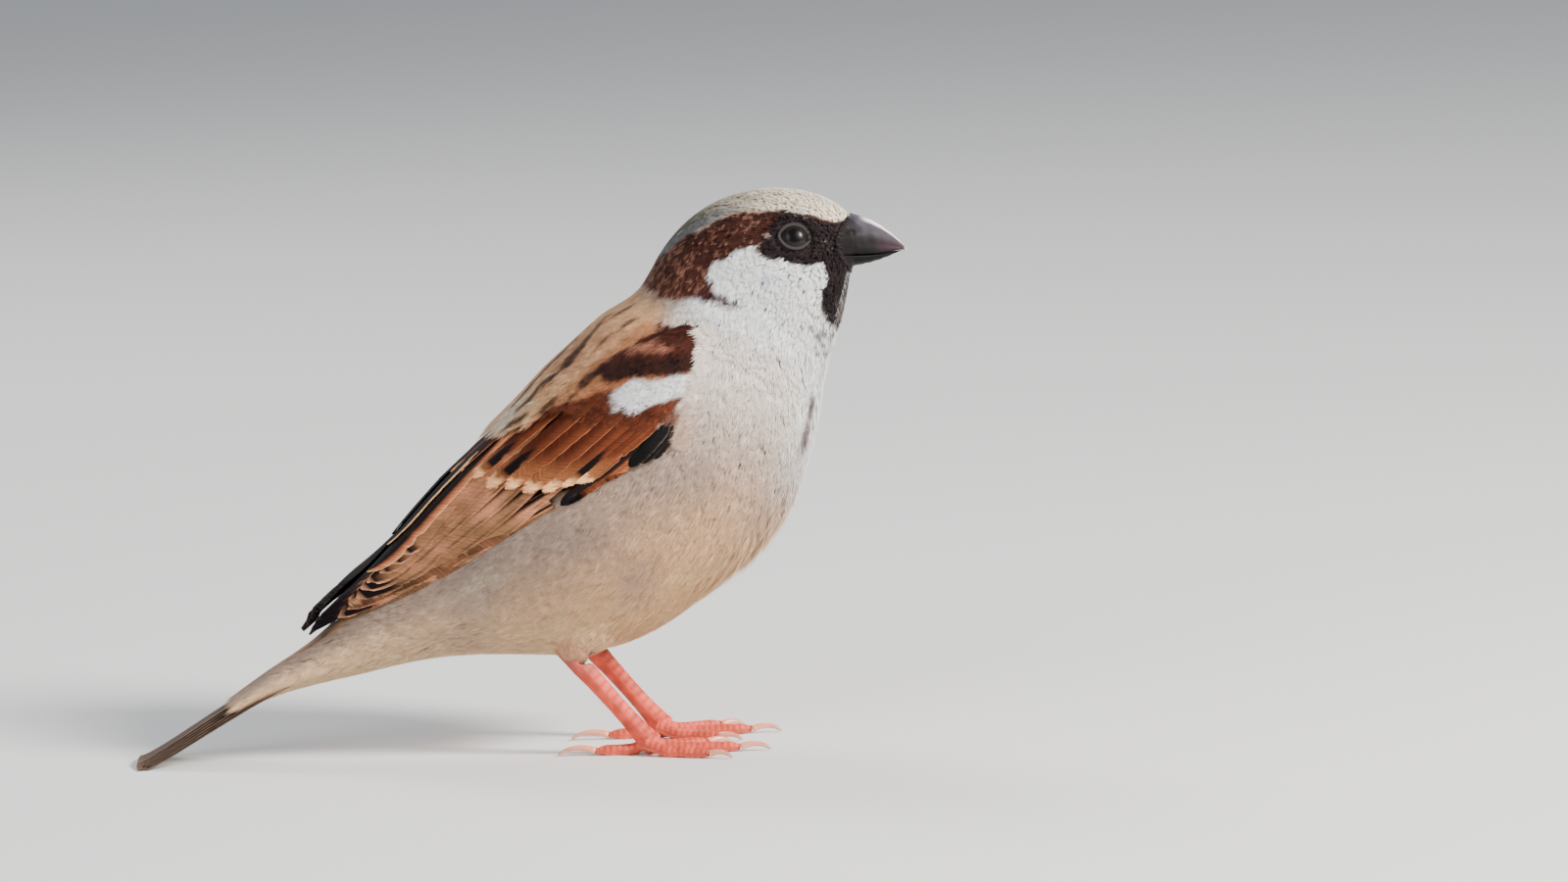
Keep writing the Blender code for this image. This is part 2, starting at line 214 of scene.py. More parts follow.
def drift(points, size, seed):
    """Smooth noise from -1 to 1 at points in mm, about size mm from crest to crest."""
    place = np.asarray(points, float) / size + seed * 17.31
    cell = np.floor(place).astype(np.int64)
    t = place - cell
    t = t * t * (3 - 2 * t)
    total = 0.0
    for corner in np.ndindex(2, 2, 2):
        c = cell + np.array(corner)
        h = c[..., 0] * 73856093 ^ c[..., 1] * 19349663 ^ c[..., 2] * 83492791 ^ (seed + 7) * 2654435
        h = ((h ^ (h >> 13)) * 1274126177) & 0x7FFFFFFF
        value = ((h >> 7) & 0xFFFF) / 32767.5 - 1
        total = total + value * np.prod(np.where(np.array(corner) == 1, t, 1 - t), axis=-1)
    return total


def smooth(low, high, value):
    t = np.clip((value - low) / (high - low), 0, 1)
    return t * t * (3 - 2 * t)


def mix(a, b, share):
    return a + (b - a) * np.asarray(share)[..., None]


# About how many mm a unit of station and a degree round the body are, where the markings lie
MARK_SCALE = np.array([8.0, 0.19])


def inside(s, d, outline):
    """Millimetres inside a closed outline of (station, degrees) rows, negative outside it."""
    corners = np.array(outline, float) * MARK_SCALE
    x, y = s * MARK_SCALE[0], d * MARK_SCALE[1]
    best = np.full(np.shape(x), 1e9)
    crossings = np.zeros(np.shape(x), int)
    for (x1, y1), (x2, y2) in zip(corners, np.roll(corners, -1, axis=0)):
        dx, dy = x2 - x1, y2 - y1
        t = np.clip(((x - x1) * dx + (y - y1) * dy) / max(dx * dx + dy * dy, 1e-9), 0, 1)
        best = np.minimum(best, np.hypot(x - x1 - t * dx, y - y1 - t * dy))
        straddles = (y1 > y) != (y2 > y)
        where = x1 + (y - y1) * dx / (dy if dy else 1e-9)
        crossings += straddles & (x < where)
    return np.where(crossings % 2 == 1, best, -best)


def along_line(s, d, line):
    """Millimetres inside a stroke through (station, degrees, half width) rows, negative outside it."""
    x, y = s * MARK_SCALE[0], d * MARK_SCALE[1]
    best = np.full(np.shape(x), -1e9)
    for (s1, d1, w1), (s2, d2, w2) in zip(line[:-1], line[1:]):
        x1, y1 = np.array([s1, d1]) * MARK_SCALE
        dx, dy = np.array([s2, d2]) * MARK_SCALE - (x1, y1)
        t = np.clip(((x - x1) * dx + (y - y1) * dy) / (dx * dx + dy * dy), 0, 1)
        best = np.maximum(best, w1 + (w2 - w1) * t - np.hypot(x - x1 - t * dx, y - y1 - t * dy))
    return best


# ---------------------------------------------------------------- the bird's markings
# Outlines are (station, degrees from the back's middle line) and hold on both sides alike.

CROWN_EDGE = ((0.0, 26), (0.25, 38), (0.5, 51), (0.8, 54), (1.03, 49), (1.24, 42), (1.5, 40), (1.7, 35),
              (1.98, 29), (2.2, 27), (2.5, 21), (2.8, 14), (3.0, 6), (3.15, -8))
MASK = ((-0.3, 20), (0.0, 26), (0.25, 38), (0.5, 51), (0.8, 54), (1.03, 49), (1.24, 43), (1.42, 42),
        (1.58, 49), (1.74, 56), (1.9, 62), (2.04, 69), (1.95, 76), (1.81, 84), (1.67, 92.5), (1.47, 97.5),
        (1.33, 98.5), (1.17, 100), (1.2, 108), (1.23, 116), (1.36, 122), (1.55, 126), (1.68, 133),
        (1.82, 138), (1.86, 147), (1.86, 158), (1.9, 185), (-0.3, 185))
CHESTNUT = ((1.2, 46), (1.3, 42), (1.5, 39), (1.75, 33), (1.98, 28), (2.2, 26), (2.5, 20), (2.8, 13),
            (3.0, 2), (3.1, -12), (3.35, -12), (3.38, 15), (3.37, 30), (3.28, 41), (3.14, 49), (3.01, 60),
            (2.93, 66), (2.86, 60), (2.76, 52), (2.66, 49), (2.55, 49), (2.41, 52), (2.18, 55), (2.05, 60),
            (1.95, 72), (1.7, 62))
FACE_FLECKS = ((1.14, 52, 0.16), (1.0, 57, 0.12), (1.75, 58, 0.26), (1.05, 84, 0.12), (0.95, 80, 0.08),
               (1.16, 88, 0.08), (0.86, 92, 0.1), (1.3, 49, 0.08))
GREATER_ROOTS = ((4.28, 80), (4.2, 78), (4.4, 70), (4.55, 52), (4.95, 36), (5.6, 36), (5.6, 66), (4.8, 80))
CHEEK_LINE = ((2.98, 56, 0.75), (2.9, 66, 0.6), (2.86, 74, 0.4), (2.78, 86, 0.15))
MANTLE_STREAKS = (
    ((3.95, 11, 0.3), (4.29, 18, 0.55), (4.46, 20, 0.6), (4.63, 23, 0.55), (4.8, 24, 0.4)),
    ((4.82, 22, 0.35), (4.94, 24, 0.45), (5.14, 24, 0.3)),
    ((3.76, 32, 0.25), (3.86, 30, 0.4), (3.98, 31, 0.2)),
    ((3.66, 18, 0.15), (3.8, 17, 0.35), (4.0, 16, 0.15)),
    ((4.3, 3, 0.2), (4.6, 6, 0.5), (4.9, 8, 0.4), (5.15, 9, 0.15)),
    ((3.62, 43, 0.1), (3.68, 44, 0.35), (3.76, 45, 0.1)),
    ((4.33, 43, 0.3), (4.42, 42, 0.5), (4.5, 42, 0.15)),
    ((4.5, 41, 0.4), (4.6, 41, 0.5), (4.7, 42, 0.15)),
    ((4.68, 42, 0.15), (4.78, 41, 0.35), (4.86, 42, 0.1)),
    ((4.88, 36, 0.3), (4.98, 35, 0.45), (5.08, 34, 0.15)),
    ((5.14, 14, 0.1), (5.3, 13, 0.25), (5.5, 12, 0.1)),
    ((5.08, 30, 0.1), (5.24, 28, 0.35), (5.4, 26, 0.1)),
    ((4.1, 28, 0.1), (4.22, 29, 0.3), (4.36, 30, 0.1)),
)
LESSER = ((3.42, 62), (3.52, 55), (3.7, 47), (3.95, 41), (4.2, 41), (4.48, 40), (4.5, 50), (4.36, 56),
          (4.3, 64), (4.17, 72), (4.0, 77), (3.8, 80), (3.5, 78))
LESSER_LOW = ((4.46, 44, 0.5), (4.32, 52, 0.9), (4.24, 63, 1.1), (4.1, 71, 1.1), (3.9, 77, 0.9))
LESSER_PALE = ((4.1, 44, 0.5), (4.0, 51, 0.6), (3.96, 60, 0.4))
WHITE_BAR = ((4.58, 54), (4.38, 57), (4.3, 65), (4.16, 73), (4.03, 78), (4.14, 82), (4.34, 78), (4.5, 72),
             (4.66, 67), (4.68, 59))
RUFOUS_BEND = ((4.4, 75, 0.8), (4.55, 80, 0.9), (4.7, 82, 0.8))
BREAST_FLECKS = ((2.36, 148), (2.47, 156), (2.62, 165), (2.46, 176), (2.7, 155), (2.32, 140), (2.2, 152),
                 (2.1, 165))
FRONT_SPOTS = ((4.32, 157), (4.18, 156), (3.94, 157), (3.72, 158))
# Places, mm per station and degree, roughness, display levels and strength of each group of spots
SPOT_GROUPS = (
    (BREAST_FLECKS, (8, 0.16), 0.6, (112, 82, 70), 0.85),
    (FRONT_SPOTS, (5.5, 0.14), 0.4, (84, 36, 40), 0.9),
)

# The grey crown's front painted cream and light: painted sunlight
SUNLIT_CROWN_FRONT = shade(246, 206, 194)
# The crown's real grey with an olive cast, a painted reflection of green surroundings
CROWN_GREY_AND_GREEN_REFLECTION = shade(104, 102, 84)
MASK_BLACK = shade(38, 29, 31)
CHESTNUT_DARK = shade(40, 18, 16)
CHESTNUT_RED = shade(70, 35, 28)
CHEEK_WHITE = shade(230, 230, 236)
BREAST_WHITE = shade(212, 206, 201)
BELLY_CREAM = shade(234, 188, 158)
FLANK_GREY = shade(184, 168, 154)
MANTLE_BUFF = shade(250, 184, 152)
STREAK_DARK = shade(50, 26, 30)
RUMP_BROWN = shade(150, 128, 110)
SCAPULAR_GREY = shade(246, 202, 190)
VENT_CREAM = shade(242, 194, 170)


def paint(s, a, p):
    """The plumage's colour and its feather-edge colour at stations, angles in radians, and points in mm."""
    d = degrees_off_back(a)
    wobble = drift(p, 2.2, 1) * 0.35 + drift(p, 0.8, 2) * 0.35
    broad = drift(p, 9.0, 3)
    fine = drift(p, 1.1, 4)
    speck = drift(p, 0.55, 6)
    below_crown = d - np.interp(s, *np.array(CROWN_EDGE).T)

    def zone(outline, rough, low=-0.2, high=0.2):
        return smooth(low, high, inside(s, d, outline) + wobble * rough)

    def stroke(line, rough, low=-0.2, high=0.2):
        return smooth(low, high, along_line(s, d, line) + wobble * rough)

    def off(station, degrees, per_station, per_degree):
        return np.hypot((s - station) * per_station, (d - degrees) * per_degree)

    # the pale underparts, then the back and the ground under the wing
    front = smooth(120, 165, d)
    colour = mix(FLANK_GREY, BREAST_WHITE, smooth(5.2, 3.6, s) * 0.8 + front * 0.35 * smooth(6.2, 4.2, s))
    colour = mix(colour, shade(246, 242, 236), smooth(130, 165, d) * smooth(5.4, 4.2, s) * 0.8)
    colour = mix(colour, BELLY_CREAM, smooth(4.4, 6.0, s) * smooth(70, 140, d))
    colour = mix(colour, VENT_CREAM, smooth(6.2, 7.6, s) * smooth(60, 100, d) * 0.9)
    clouded = smooth(0.1, 0.8, broad) * smooth(3.4, 4.4, s) * (1 - front) * 0.5
    colour = mix(colour, shade(168, 156, 148), clouded)
    back = smooth(52, 34, d + wobble * 8) * smooth(3.3, 3.55, s)
    tan = mix(MANTLE_BUFF, shade(184, 138, 110), 0.8 * smooth(0.0, 0.9, fine + 0.6 * broad))
    colour = mix(colour, tan, back)
    wing_low = np.interp(s, (4.4, 5.0, 5.4, 6.2), (80, 70, 60, 45))
    wing_side = smooth(3.5, 3.8, s) * smooth(33, 38, d) * smooth(wing_low, wing_low - 6, d)
    colour = mix(colour, shade(176, 122, 84), wing_side)
    colour = mix(colour, RUMP_BROWN, back * smooth(5.6, 6.6, s))
    ragged = s + wobble * 0.35 + 0.25 * fine
    grey = smooth(4.75, 5.2, ragged) * smooth(6.15, 5.65, ragged) * smooth(32, 22, d + wobble * 4)
    grey = grey * (1 - 0.85 * smooth(11, 5, d + wobble * 4)) * (1 - 0.45 * smooth(0.1, 0.7, fine))
    colour = mix(colour, SCAPULAR_GREY, grey)
    buff_edge = mix(colour, shade(244, 186, 152), np.full(np.shape(s), 0.6))
    edge = mix(colour * 1.08, buff_edge, back * (1 - grey))

    # the white cheek and throat, and the grey nape and crown; the crown's front is painted light as if
    # sunlit, and its grey back carries a painted olive reflection
    white = smooth(3.6, 3.05, s + wobble * 0.1) * smooth(30, 55, d)
    colour = mix(colour, CHEEK_WHITE, white)
    band = smooth(-1.6, 0.2, -np.abs((s - 3.32) * 8 - (95 - d) * 0.02))
    band = band * smooth(60, 75, d) * smooth(150, 120, d)
    colour = mix(colour, shade(188, 182, 180), band * (0.35 + 0.3 * fine))
    nape = smooth(3.75, 3.35, s) * smooth(52, 36, d)
    colour = mix(colour, shade(172, 152, 130), nape)
    crown = smooth(-0.35, 0.35, -below_crown * 0.19 + wobble)
    # painted light: the crown runs from a painted sunlit front back to grey
    crown_colour = mix(SUNLIT_CROWN_FRONT, CROWN_GREY_AND_GREEN_REFLECTION, smooth(1.0, 2.5, s + 0.2 * fine))
    blue = smooth(14, 6, -below_crown) * smooth(1.7, 2.1, s)
    crown_colour = mix(crown_colour, shade(136, 138, 146), blue * 0.6)
    colour = mix(colour, crown_colour * (1 - 0.1 * smooth(-0.2, 0.9, fine))[..., None], crown)

    # the chestnut sides of the head, the black mask and bib, and the flecks in them
    red = zone(CHESTNUT, 1, -0.25, 0.3)
    red_colour = mix(CHESTNUT_DARK, CHESTNUT_RED, smooth(-0.5, 0.8, broad + fine * 0.6))
    red_colour = mix(red_colour, shade(52, 22, 20), smooth(1.9, 1.5, s) * 0.6)
    red_colour = mix(red_colour, shade(104, 62, 46), smooth(3.0, 3.25, s) * 0.6)
    colour = mix(colour, red_colour, red)
    maroon = stroke(CHEEK_LINE, 0.4, -0.15, 0.25)
    colour = mix(colour, shade(66, 28, 38), maroon * 0.95)
    black = zone(MASK, 0.8)
    black_colour = mix(MASK_BLACK, shade(66, 52, 50), smooth(0.1, 0.9, fine) * 0.6)
    rust = smooth(0.9, 0.1, np.abs(below_crown * 0.19 - 0.35 + wobble))
    black_colour = mix(black_colour, shade(92, 52, 48), rust * smooth(1.4, 1.0, s) * 0.6)
    flecked = smooth(0.8, 1.4, s) * smooth(140, 158, d) * smooth(0.25, 0.5, speck)
    black_colour = mix(black_colour, shade(158, 146, 134), flecked * 0.6)
    colour = mix(colour, black_colour, black)
    for station, degrees, size in FACE_FLECKS:
        mark = smooth(size * 1.4, size * 0.4, off(station, degrees, 7, 0.15) + wobble * 0.4)
        colour = mix(colour, shade(172, 158, 150), mark * 0.8)
    smudge = smooth(1.5, 0.3, off(2.22, 88, 7, 0.16) + fine * 0.7)
    colour = mix(colour, shade(186, 186, 200), smudge * 0.45)

    # the roots of the wing's coverts, the lesser coverts, the white bar and the bend below it
    root_zone = zone(GREATER_ROOTS, 0.5)
    root_colour = mix(shade(88, 38, 22), shade(116, 58, 34), smooth(-0.3, 0.7, fine))
    colour = mix(colour, root_colour, root_zone)
    lesser = zone(LESSER, 0.8, -0.2, 0.25)
    lesser_colour = mix(shade(54, 22, 17), shade(80, 38, 28), smooth(-0.2, 0.8, fine))
    lesser_colour = mix(lesser_colour, shade(34, 11, 13), stroke(LESSER_LOW, 0, -0.3, 0.4))
    pale_part = stroke(LESSER_PALE, 1, -0.2, 0.3)
    lesser_colour = mix(lesser_colour, shade(198, 158, 130), pale_part * (0.5 + 0.5 * fine))
    colour = mix(colour, lesser_colour, lesser)
    bar = zone(WHITE_BAR, 0.6)
    colour = mix(colour, shade(240, 240, 242), bar)
    bend = stroke(RUFOUS_BEND, 1, -0.3, 0.3)
    colour = mix(colour, shade(112, 58, 40), bend * (1 - bar) * 0.9)

    # dark streaks and spots, and the down at the vent's side
    spots = np.zeros(np.shape(s))
    for line in MANTLE_STREAKS:
        spots = np.maximum(spots, stroke(line, 0.5))
    colour = mix(colour, STREAK_DARK, spots * 0.95)
    for places, scale, rough, levels, share in SPOT_GROUPS:
        for place in places:
            mark = smooth(0.8, 0.4, off(*place, *scale) + wobble * rough)
            colour = mix(colour, shade(*levels), mark * share)
            spots = np.maximum(spots, mark)
    down = smooth(1.3, 0.1, off(6.9, 72, 2.0, 0.11) + 0.5 * wobble)
    colour = mix(colour, shade(226, 204, 186), down * 0.6)

    # the feathers' edges
    edge = mix(edge, colour * 1.05, np.maximum(white, crown))
    tipped = smooth(0.1, 0.5, speck + 0.25 * smooth(2.2, 3.1, s)) * smooth(1.5, 1.9, s)
    edge = mix(edge, mix(colour, shade(192, 158, 132), 0.08 + 0.75 * tipped), red)
    fringe = smooth(0.9, 1.4, s) * smooth(136, 154, d) * smooth(0.0, 0.4, speck)
    edge = mix(edge, mix(colour, shade(184, 172, 158), 0.75 * fringe), black)
    rufous = mix(colour, shade(168, 112, 84), 0.12 + 0.35 * pale_part)
    edge = mix(edge, rufous, np.maximum(lesser, root_zone))
    edge = mix(edge, colour, np.maximum(bar, bend))
    edge = mix(edge, colour, np.maximum(spots, maroon) * 0.85)
    return np.clip(colour, 0.004, 0.95), np.clip(edge, 0.004, 0.95)


# ---------------------------------------------------------------- meshes


def grid_faces(rows, columns):
    """Quads between the rows and columns of a grid of vertices."""
    i, j = np.meshgrid(np.arange(rows - 1), np.arange(columns - 1), indexing="ij")
    start = (i * columns + j).ravel()
    return np.stack([start, start + 1, start + columns + 1, start + columns], -1)


def strip_faces(rows, columns):
    """The faces of a curved strip closed by a flat underside and two ends."""
    i = np.arange(rows - 1) * columns
    under = np.stack([i, i + columns, i + 2 * columns - 1, i + columns - 1], -1)
    k = np.arange(1, columns - 1)
    last = (rows - 1) * columns
    root_cap = np.stack([np.zeros_like(k), k + 1, k], -1)
    tip_cap = np.stack([np.full_like(k, last), last + k, last + k + 1], -1)
    return [grid_faces(rows, columns), under, root_cap, tip_cap]


def turned_over(blocks):
    return [block[:, ::-1] for block in blocks]


def turned_out(blocks, points, face, outward):
    """Blocks of faces, turned over if the given face of the first block doesn't look outward."""
    first = points[blocks[0][face]]
    facing = np.cross(first[1] - first[0], first[-1] - first[0]) @ outward
    return turned_over(blocks) if facing < 0 else blocks


def add_object(name, data):
    piece = bpy.data.objects.new(name, data)
    bpy.context.scene.collection.objects.link(piece)
    return piece


def point_colours(mesh, tints):
    layer = mesh.color_attributes.new("tint", "FLOAT_COLOR", "POINT")
    layer.data.foreach_set("color", np.c_[tints, np.ones(len(tints))].ravel().astype(np.float32))


def corner_map(mesh, label, places):
    """A UV map from one place for each vertex."""
    loops = np.zeros(len(mesh.loops), np.int32)
    mesh.loops.foreach_get("vertex_index", loops)
    mesh.uv_layers.new(name=label).data.foreach_set("uv", places[loops].ravel().astype(np.float32))


def finish_piece(piece, material, nodes):
    piece.data.materials.append(material)
    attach(piece, "root")
    if nodes:
        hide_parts(*nodes)
    return piece


class Pile:
    """Vertices, faces, colours and UVs of one piece, gathered before it is made."""

    def __init__(self):
        self.points, self.tints, self.maps, self.fine_maps, self.lies = [], [], [], [], []
        self.faces = {3: [], 4: []}
        self.count = 0

    def add(self, points, faces, tints, maps, fine_maps=None, lie=None):
        """Points in mm, index arrays (m, 3) or (m, 4), linear tints, UVs, and the body's own normals."""
        for block in faces:
            self.faces[block.shape[1]].append(block + self.count)
        points, tints, maps = points.reshape(-1, 3), tints.reshape(-1, 3), maps.reshape(-1, 2)
        self.points.append(points)
        self.tints.append(tints)
        self.maps.append(maps)
        self.fine_maps.append(np.zeros_like(maps) if fine_maps is None else fine_maps.reshape(-1, 2))
        self.lies.append(np.zeros_like(points) if lie is None else lie.reshape(-1, 3))
        self.count += len(points)

    def build(self, name, material, slot, nodes=(), flat=True):
        points = np.concatenate(self.points) * MM
        blocks = [np.concatenate(self.faces[size]) for size in (3, 4) if self.faces[size]]
        loops = np.concatenate([block.ravel() for block in blocks]).astype(np.int32)
        sizes = np.concatenate([np.full(len(block), block.shape[1]) for block in blocks])
        starts = np.concatenate([[0], np.cumsum(sizes)[:-1]])
        mesh = bpy.data.meshes.new(name)
        mesh.vertices.add(len(points))
        mesh.vertices.foreach_set("co", points.ravel().astype(np.float32))
        mesh.loops.add(len(loops))
        mesh.loops.foreach_set("vertex_index", loops)
        mesh.polygons.add(len(sizes))
        mesh.polygons.foreach_set("loop_start", starts.astype(np.int32))
        mesh.polygons.foreach_set("use_smooth", np.full(len(sizes), not flat))
        mesh.update(calc_edges=True)
        corner_map(mesh, "OFBake", np.concatenate(self.maps))
        corner_map(mesh, "Barbs", np.concatenate(self.fine_maps))
        mesh.uv_layers.active_index = 0
        point_colours(mesh, np.concatenate(self.tints))
        lie = mesh.attributes.new("lie", "FLOAT_VECTOR", "POINT")
        lie.data.foreach_set("vector", np.concatenate(self.lies).ravel().astype(np.float32))
        mesh.validate()
        return finish_piece(add_object(name, mesh), material, nodes)


def unwrap(s, a):
    """The place of a station and angle on the skin's own unwrap."""
    turn = (np.asarray(a) + math.pi) % (2 * math.pi) / (2 * math.pi)
    return np.stack([0.02 + 0.96 * np.asarray(s) / LAST, 0.02 + 0.96 * turn], -1)


# ---------------------------------------------------------------- materials


def add_node(tree, kind, values=(), **options):
    """A shader node with its options, and its sockets' values as (socket, value) pairs."""
    node = tree.nodes.new("ShaderNode" + kind)
    for option, value in options.items():
        setattr(node, option, value)
    for socket, value in values:
        node.inputs[socket].default_value = value
    return node


def coat_material(name, roughness, sheen, grain, barbs=0.0, soft=0.0, glow=0.0, mottle=0.22, depth=0.0001,
                  shine=0.07):
    """A feathery finish: the painted tint, broken up by fine noise, with a soft sheen.

    Barbs is how close the fine lines across a vane are, soft how far a tuft takes its light as the
    body under it would, glow how much light passes through it, mottle how far the noise changes the
    tint, and depth the bump's depth in metres.
    """
    material = bpy.data.materials.new(name)
    material.use_nodes = True
    tree = material.node_tree
    link = tree.links.new
    shader = tree.nodes["Principled BSDF"]
    shader.inputs["Sheen Weight"].default_value = sheen
    shader.inputs["Sheen Roughness"].default_value = 0.5
    shader.inputs["Specular IOR Level"].default_value = shine
    shader.inputs["Subsurface Weight"].default_value = glow
    shader.inputs["Subsurface Radius"].default_value = (1.0, 0.9, 0.8)
    shader.inputs["Subsurface Scale"].default_value = 0.0008
    tint = add_node(tree, "Attribute", attribute_name="tint")
    place = add_node(tree, "TexCoord")
    speckle = add_node(tree, "TexNoise", (("Scale", grain), ("Detail", 3.0)))
    link(place.outputs["Object"], speckle.inputs["Vector"])
    spread = add_node(tree, "MapRange", (("To Min", 1 - mottle), ("To Max", 1 + mottle)))
    link(speckle.outputs["Fac"], spread.inputs["Value"])
    dress = add_node(tree, "VectorMath", operation="SCALE")
    link(tint.outputs["Color"], dress.inputs[0])
    link(spread.outputs["Result"], dress.inputs["Scale"])
    link(dress.outputs["Vector"], shader.inputs["Base Color"])
    gloss = add_node(tree, "MapRange", (("To Min", roughness - 0.1), ("To Max", roughness + 0.1)))
    link(speckle.outputs["Fac"], gloss.inputs["Value"])
    link(gloss.outputs["Result"], shader.inputs["Roughness"])
    bump = add_node(tree, "Bump", (("Distance", depth), ("Strength", 0.35)))
    height = speckle.outputs["Fac"]
    if barbs:
        lines = add_node(tree, "UVMap", uv_map="Barbs")
        stretch = add_node(tree, "VectorMath", ((1, (barbs, barbs * 0.12, 1.0)),), operation="MULTIPLY")
        link(lines.outputs["UV"], stretch.inputs[0])
        strands = add_node(tree, "TexNoise", (("Scale", 1.0), ("Detail", 2.0)))
        link(stretch.outputs["Vector"], strands.inputs["Vector"])
        height = strands.outputs["Fac"]
        contrast = (("From Min", 0.3), ("From Max", 0.7), ("To Min", 0.72), ("To Max", 1.25))
        furrow = add_node(tree, "MapRange", contrast)
        link(height, furrow.inputs["Value"])
        both = add_node(tree, "Math", operation="MULTIPLY")
        link(furrow.outputs["Result"], both.inputs[0])
        link(spread.outputs["Result"], both.inputs[1])
        link(both.outputs["Value"], dress.inputs["Scale"])
    link(height, bump.inputs["Height"])
    if soft:
        lie = add_node(tree, "Attribute", attribute_name="lie")
        own = add_node(tree, "NewGeometry")
        blend = add_node(tree, "Mix", (("Factor", soft),), data_type="VECTOR")
        link(own.outputs["Normal"], blend.inputs["A"])
        link(lie.outputs["Vector"], blend.inputs["B"])
        even = add_node(tree, "VectorMath", operation="NORMALIZE")
        link(blend.outputs["Result"], even.inputs[0])
        link(even.outputs["Vector"], bump.inputs["Normal"])
    link(bump.outputs["Normal"], shader.inputs["Normal"])
    return material


def horny_material(name, roughness, scale, coat, shine, depth=0.00004, coat_roughness=0.15):
    """Smooth bare skin or horn: the painted tint, fine mottling and a fine-grained bump."""
    material = coat_material(name, roughness, 0.0, scale, mottle=0.12, depth=depth, shine=shine)
    shader = material.node_tree.nodes["Principled BSDF"]
    shader.inputs["Coat Weight"].default_value = coat
    shader.inputs["Coat Roughness"].default_value = coat_roughness
    return material


FLUFF = coat_material("soft_plumage", 0.75, 0.06, 900.0, soft=0.82, glow=0.28)
VANE = coat_material("vaned_feather", 0.6, 0.0, 1400.0, barbs=2.6)
SKIN = coat_material("feathered_skin", 0.8, 0.04, 1600.0)
LEG_SKIN = horny_material("leg_scales", 0.62, 1500.0, coat=0.0, shine=0.3)
CLAW_HORN = horny_material("claw_horn", 0.35, 1800.0, coat=0.3, shine=0.5)
BILL_HORN = horny_material("bill_horn", 0.5, 1200.0, coat=0.0, shine=0.07)
WET_EYE = horny_material("wet_eye", 0.35, 700.0, coat=0.12, shine=0.12, depth=0.00001, coat_roughness=0.03)


# ---------------------------------------------------------------- the wing's place on the body

# (station, degrees of the wing's upper edge, degrees of its lower edge)
WING_EDGES = np.array([
    (3.45, 58, 72), (3.8, 46, 77), (4.3, 32, 84), (4.6, 20, 89), (4.9, 10, 89), (5.1, 0, 82),
    (5.3, -12, 76), (5.75, -40, 69), (6.15, -40, 63), (6.45, -40, 58), (6.95, -40, 51), (7.3, -40, 48),
    (7.7, -40, 46), (8.1, -30, 40), (8.3, -10, 38), (8.5, 10, 36),
])
WING_RISE = 2.1  # mm that the folded wing stands off the body, over the height of its foot
WING_FOOT = 0.35


def wing_margin(s, a):
    """Millimetres inside the folded wing's edge, negative outside."""
    d = off_back(a)
    _, _, per_station, per_radian = plumage.read(s, a)
    top = np.radians(np.interp(s, WING_EDGES[:, 0], WING_EDGES[:, 1]))
    low = np.radians(np.interp(s, WING_EDGES[:, 0], WING_EDGES[:, 2]))
    across = np.minimum(d - top, low - d) * per_radian
    return np.minimum(across, np.minimum(s - WING_EDGES[0, 0], WING_EDGES[-1, 0] - s) * per_station)


def back_rise(s, a):
    """How far the mantle's thick plumage stands over the spine, in mm."""
    rise = np.interp(s, (3.1, 3.6, 4.0, 4.35, 4.8, 5.5, 6.0), (0, 0.7, 1.7, 1.8, 1.4, 0.9, 0))
    return rise * smooth(58, 30, degrees_off_back(a))


def wing_lift(s, a):
    """How far the folded wing's outer face stands off the body, in mm."""
    margin = wing_margin(s, a)
    d = degrees_off_back(a)
    width = 2.2 + 1.4 * smooth(20, 45, d)
    lift = WING_FOOT + WING_RISE * smooth(0, 1, margin / width)
    lift = np.where(margin > 0, lift, WING_FOOT * smooth(-1.0, 0, margin))
    low = np.interp(s, (4.9, 5.5, 6.2), (0.15, 0.3, 0.55))
    lift = lift * (low + (1 - low) * smooth(4, 26, d))
    lift = np.maximum(lift, back_rise(s, a))
    return lift + np.interp(s, (7.1, 7.5, 7.9, 8.25, 8.5), (0, 0.3, 0.7, 1.2, 1.6)) * (d < 75)


# ---------------------------------------------------------------- the skin

RIGHT_HANDED = np.median((np.cross(plumage.around, plumage.along) * plumage.normals).sum(-1)) > 0
EYE_SKIN_REACH = 3.9 / 2.2  # lid distances over which the skin sinks to the eye
EYE_SHIFT = np.array([-0.25, 0.0, -0.95])  # from the solid's eye to the eye as it is seated here
EYEBALL_RADIUS = 3.3
EYE_STAND = 0.3  # how far the eyeball stands out of the plumage
LID_HALF_LENGTH = 2.15
LID_HALF_HEIGHT = 1.85


def coat_depth(s, a):
    """How far the skin lies under the plumage's surface, in mm."""
    depth = np.interp(s, (0, 0.4, 1.2, 3.0, 4.4, 6.4, 8.0, 9.4), (0.3, 0.5, 0.75, 1.0, 1.5, 1.6, 1.0, 0.45))
    return depth * (0.72 + 0.28 * (1 - np.cos(a)))


def eye_frame(side):
    """The centre of an eyeball in mm, its outward axis, and the forward and upward lid directions."""
    seat, _ = eye_place(side)
    seat = seat + EYE_SHIFT
    way = dict(SIDES)[side]
    half = plumage.points[:, ANGLES * way > 0].reshape(-1, 3)
    nearest = half[np.argmin(np.linalg.norm(half - seat, axis=-1))]
    axis = unit(nearest - seat)
    level = np.array([1.0, 0, -0.12])
    forward = unit(level - axis * (axis @ level))
    return nearest - axis * (EYEBALL_RADIUS - EYE_STAND), axis, forward, np.cross(axis, forward) * -way


def lid_distance(off, forward, upward):
    """How far out of an eye's middle a place is: 1 on the lids' edge."""
    return np.hypot((off @ forward) / LID_HALF_LENGTH, (off @ upward) / LID_HALF_HEIGHT)


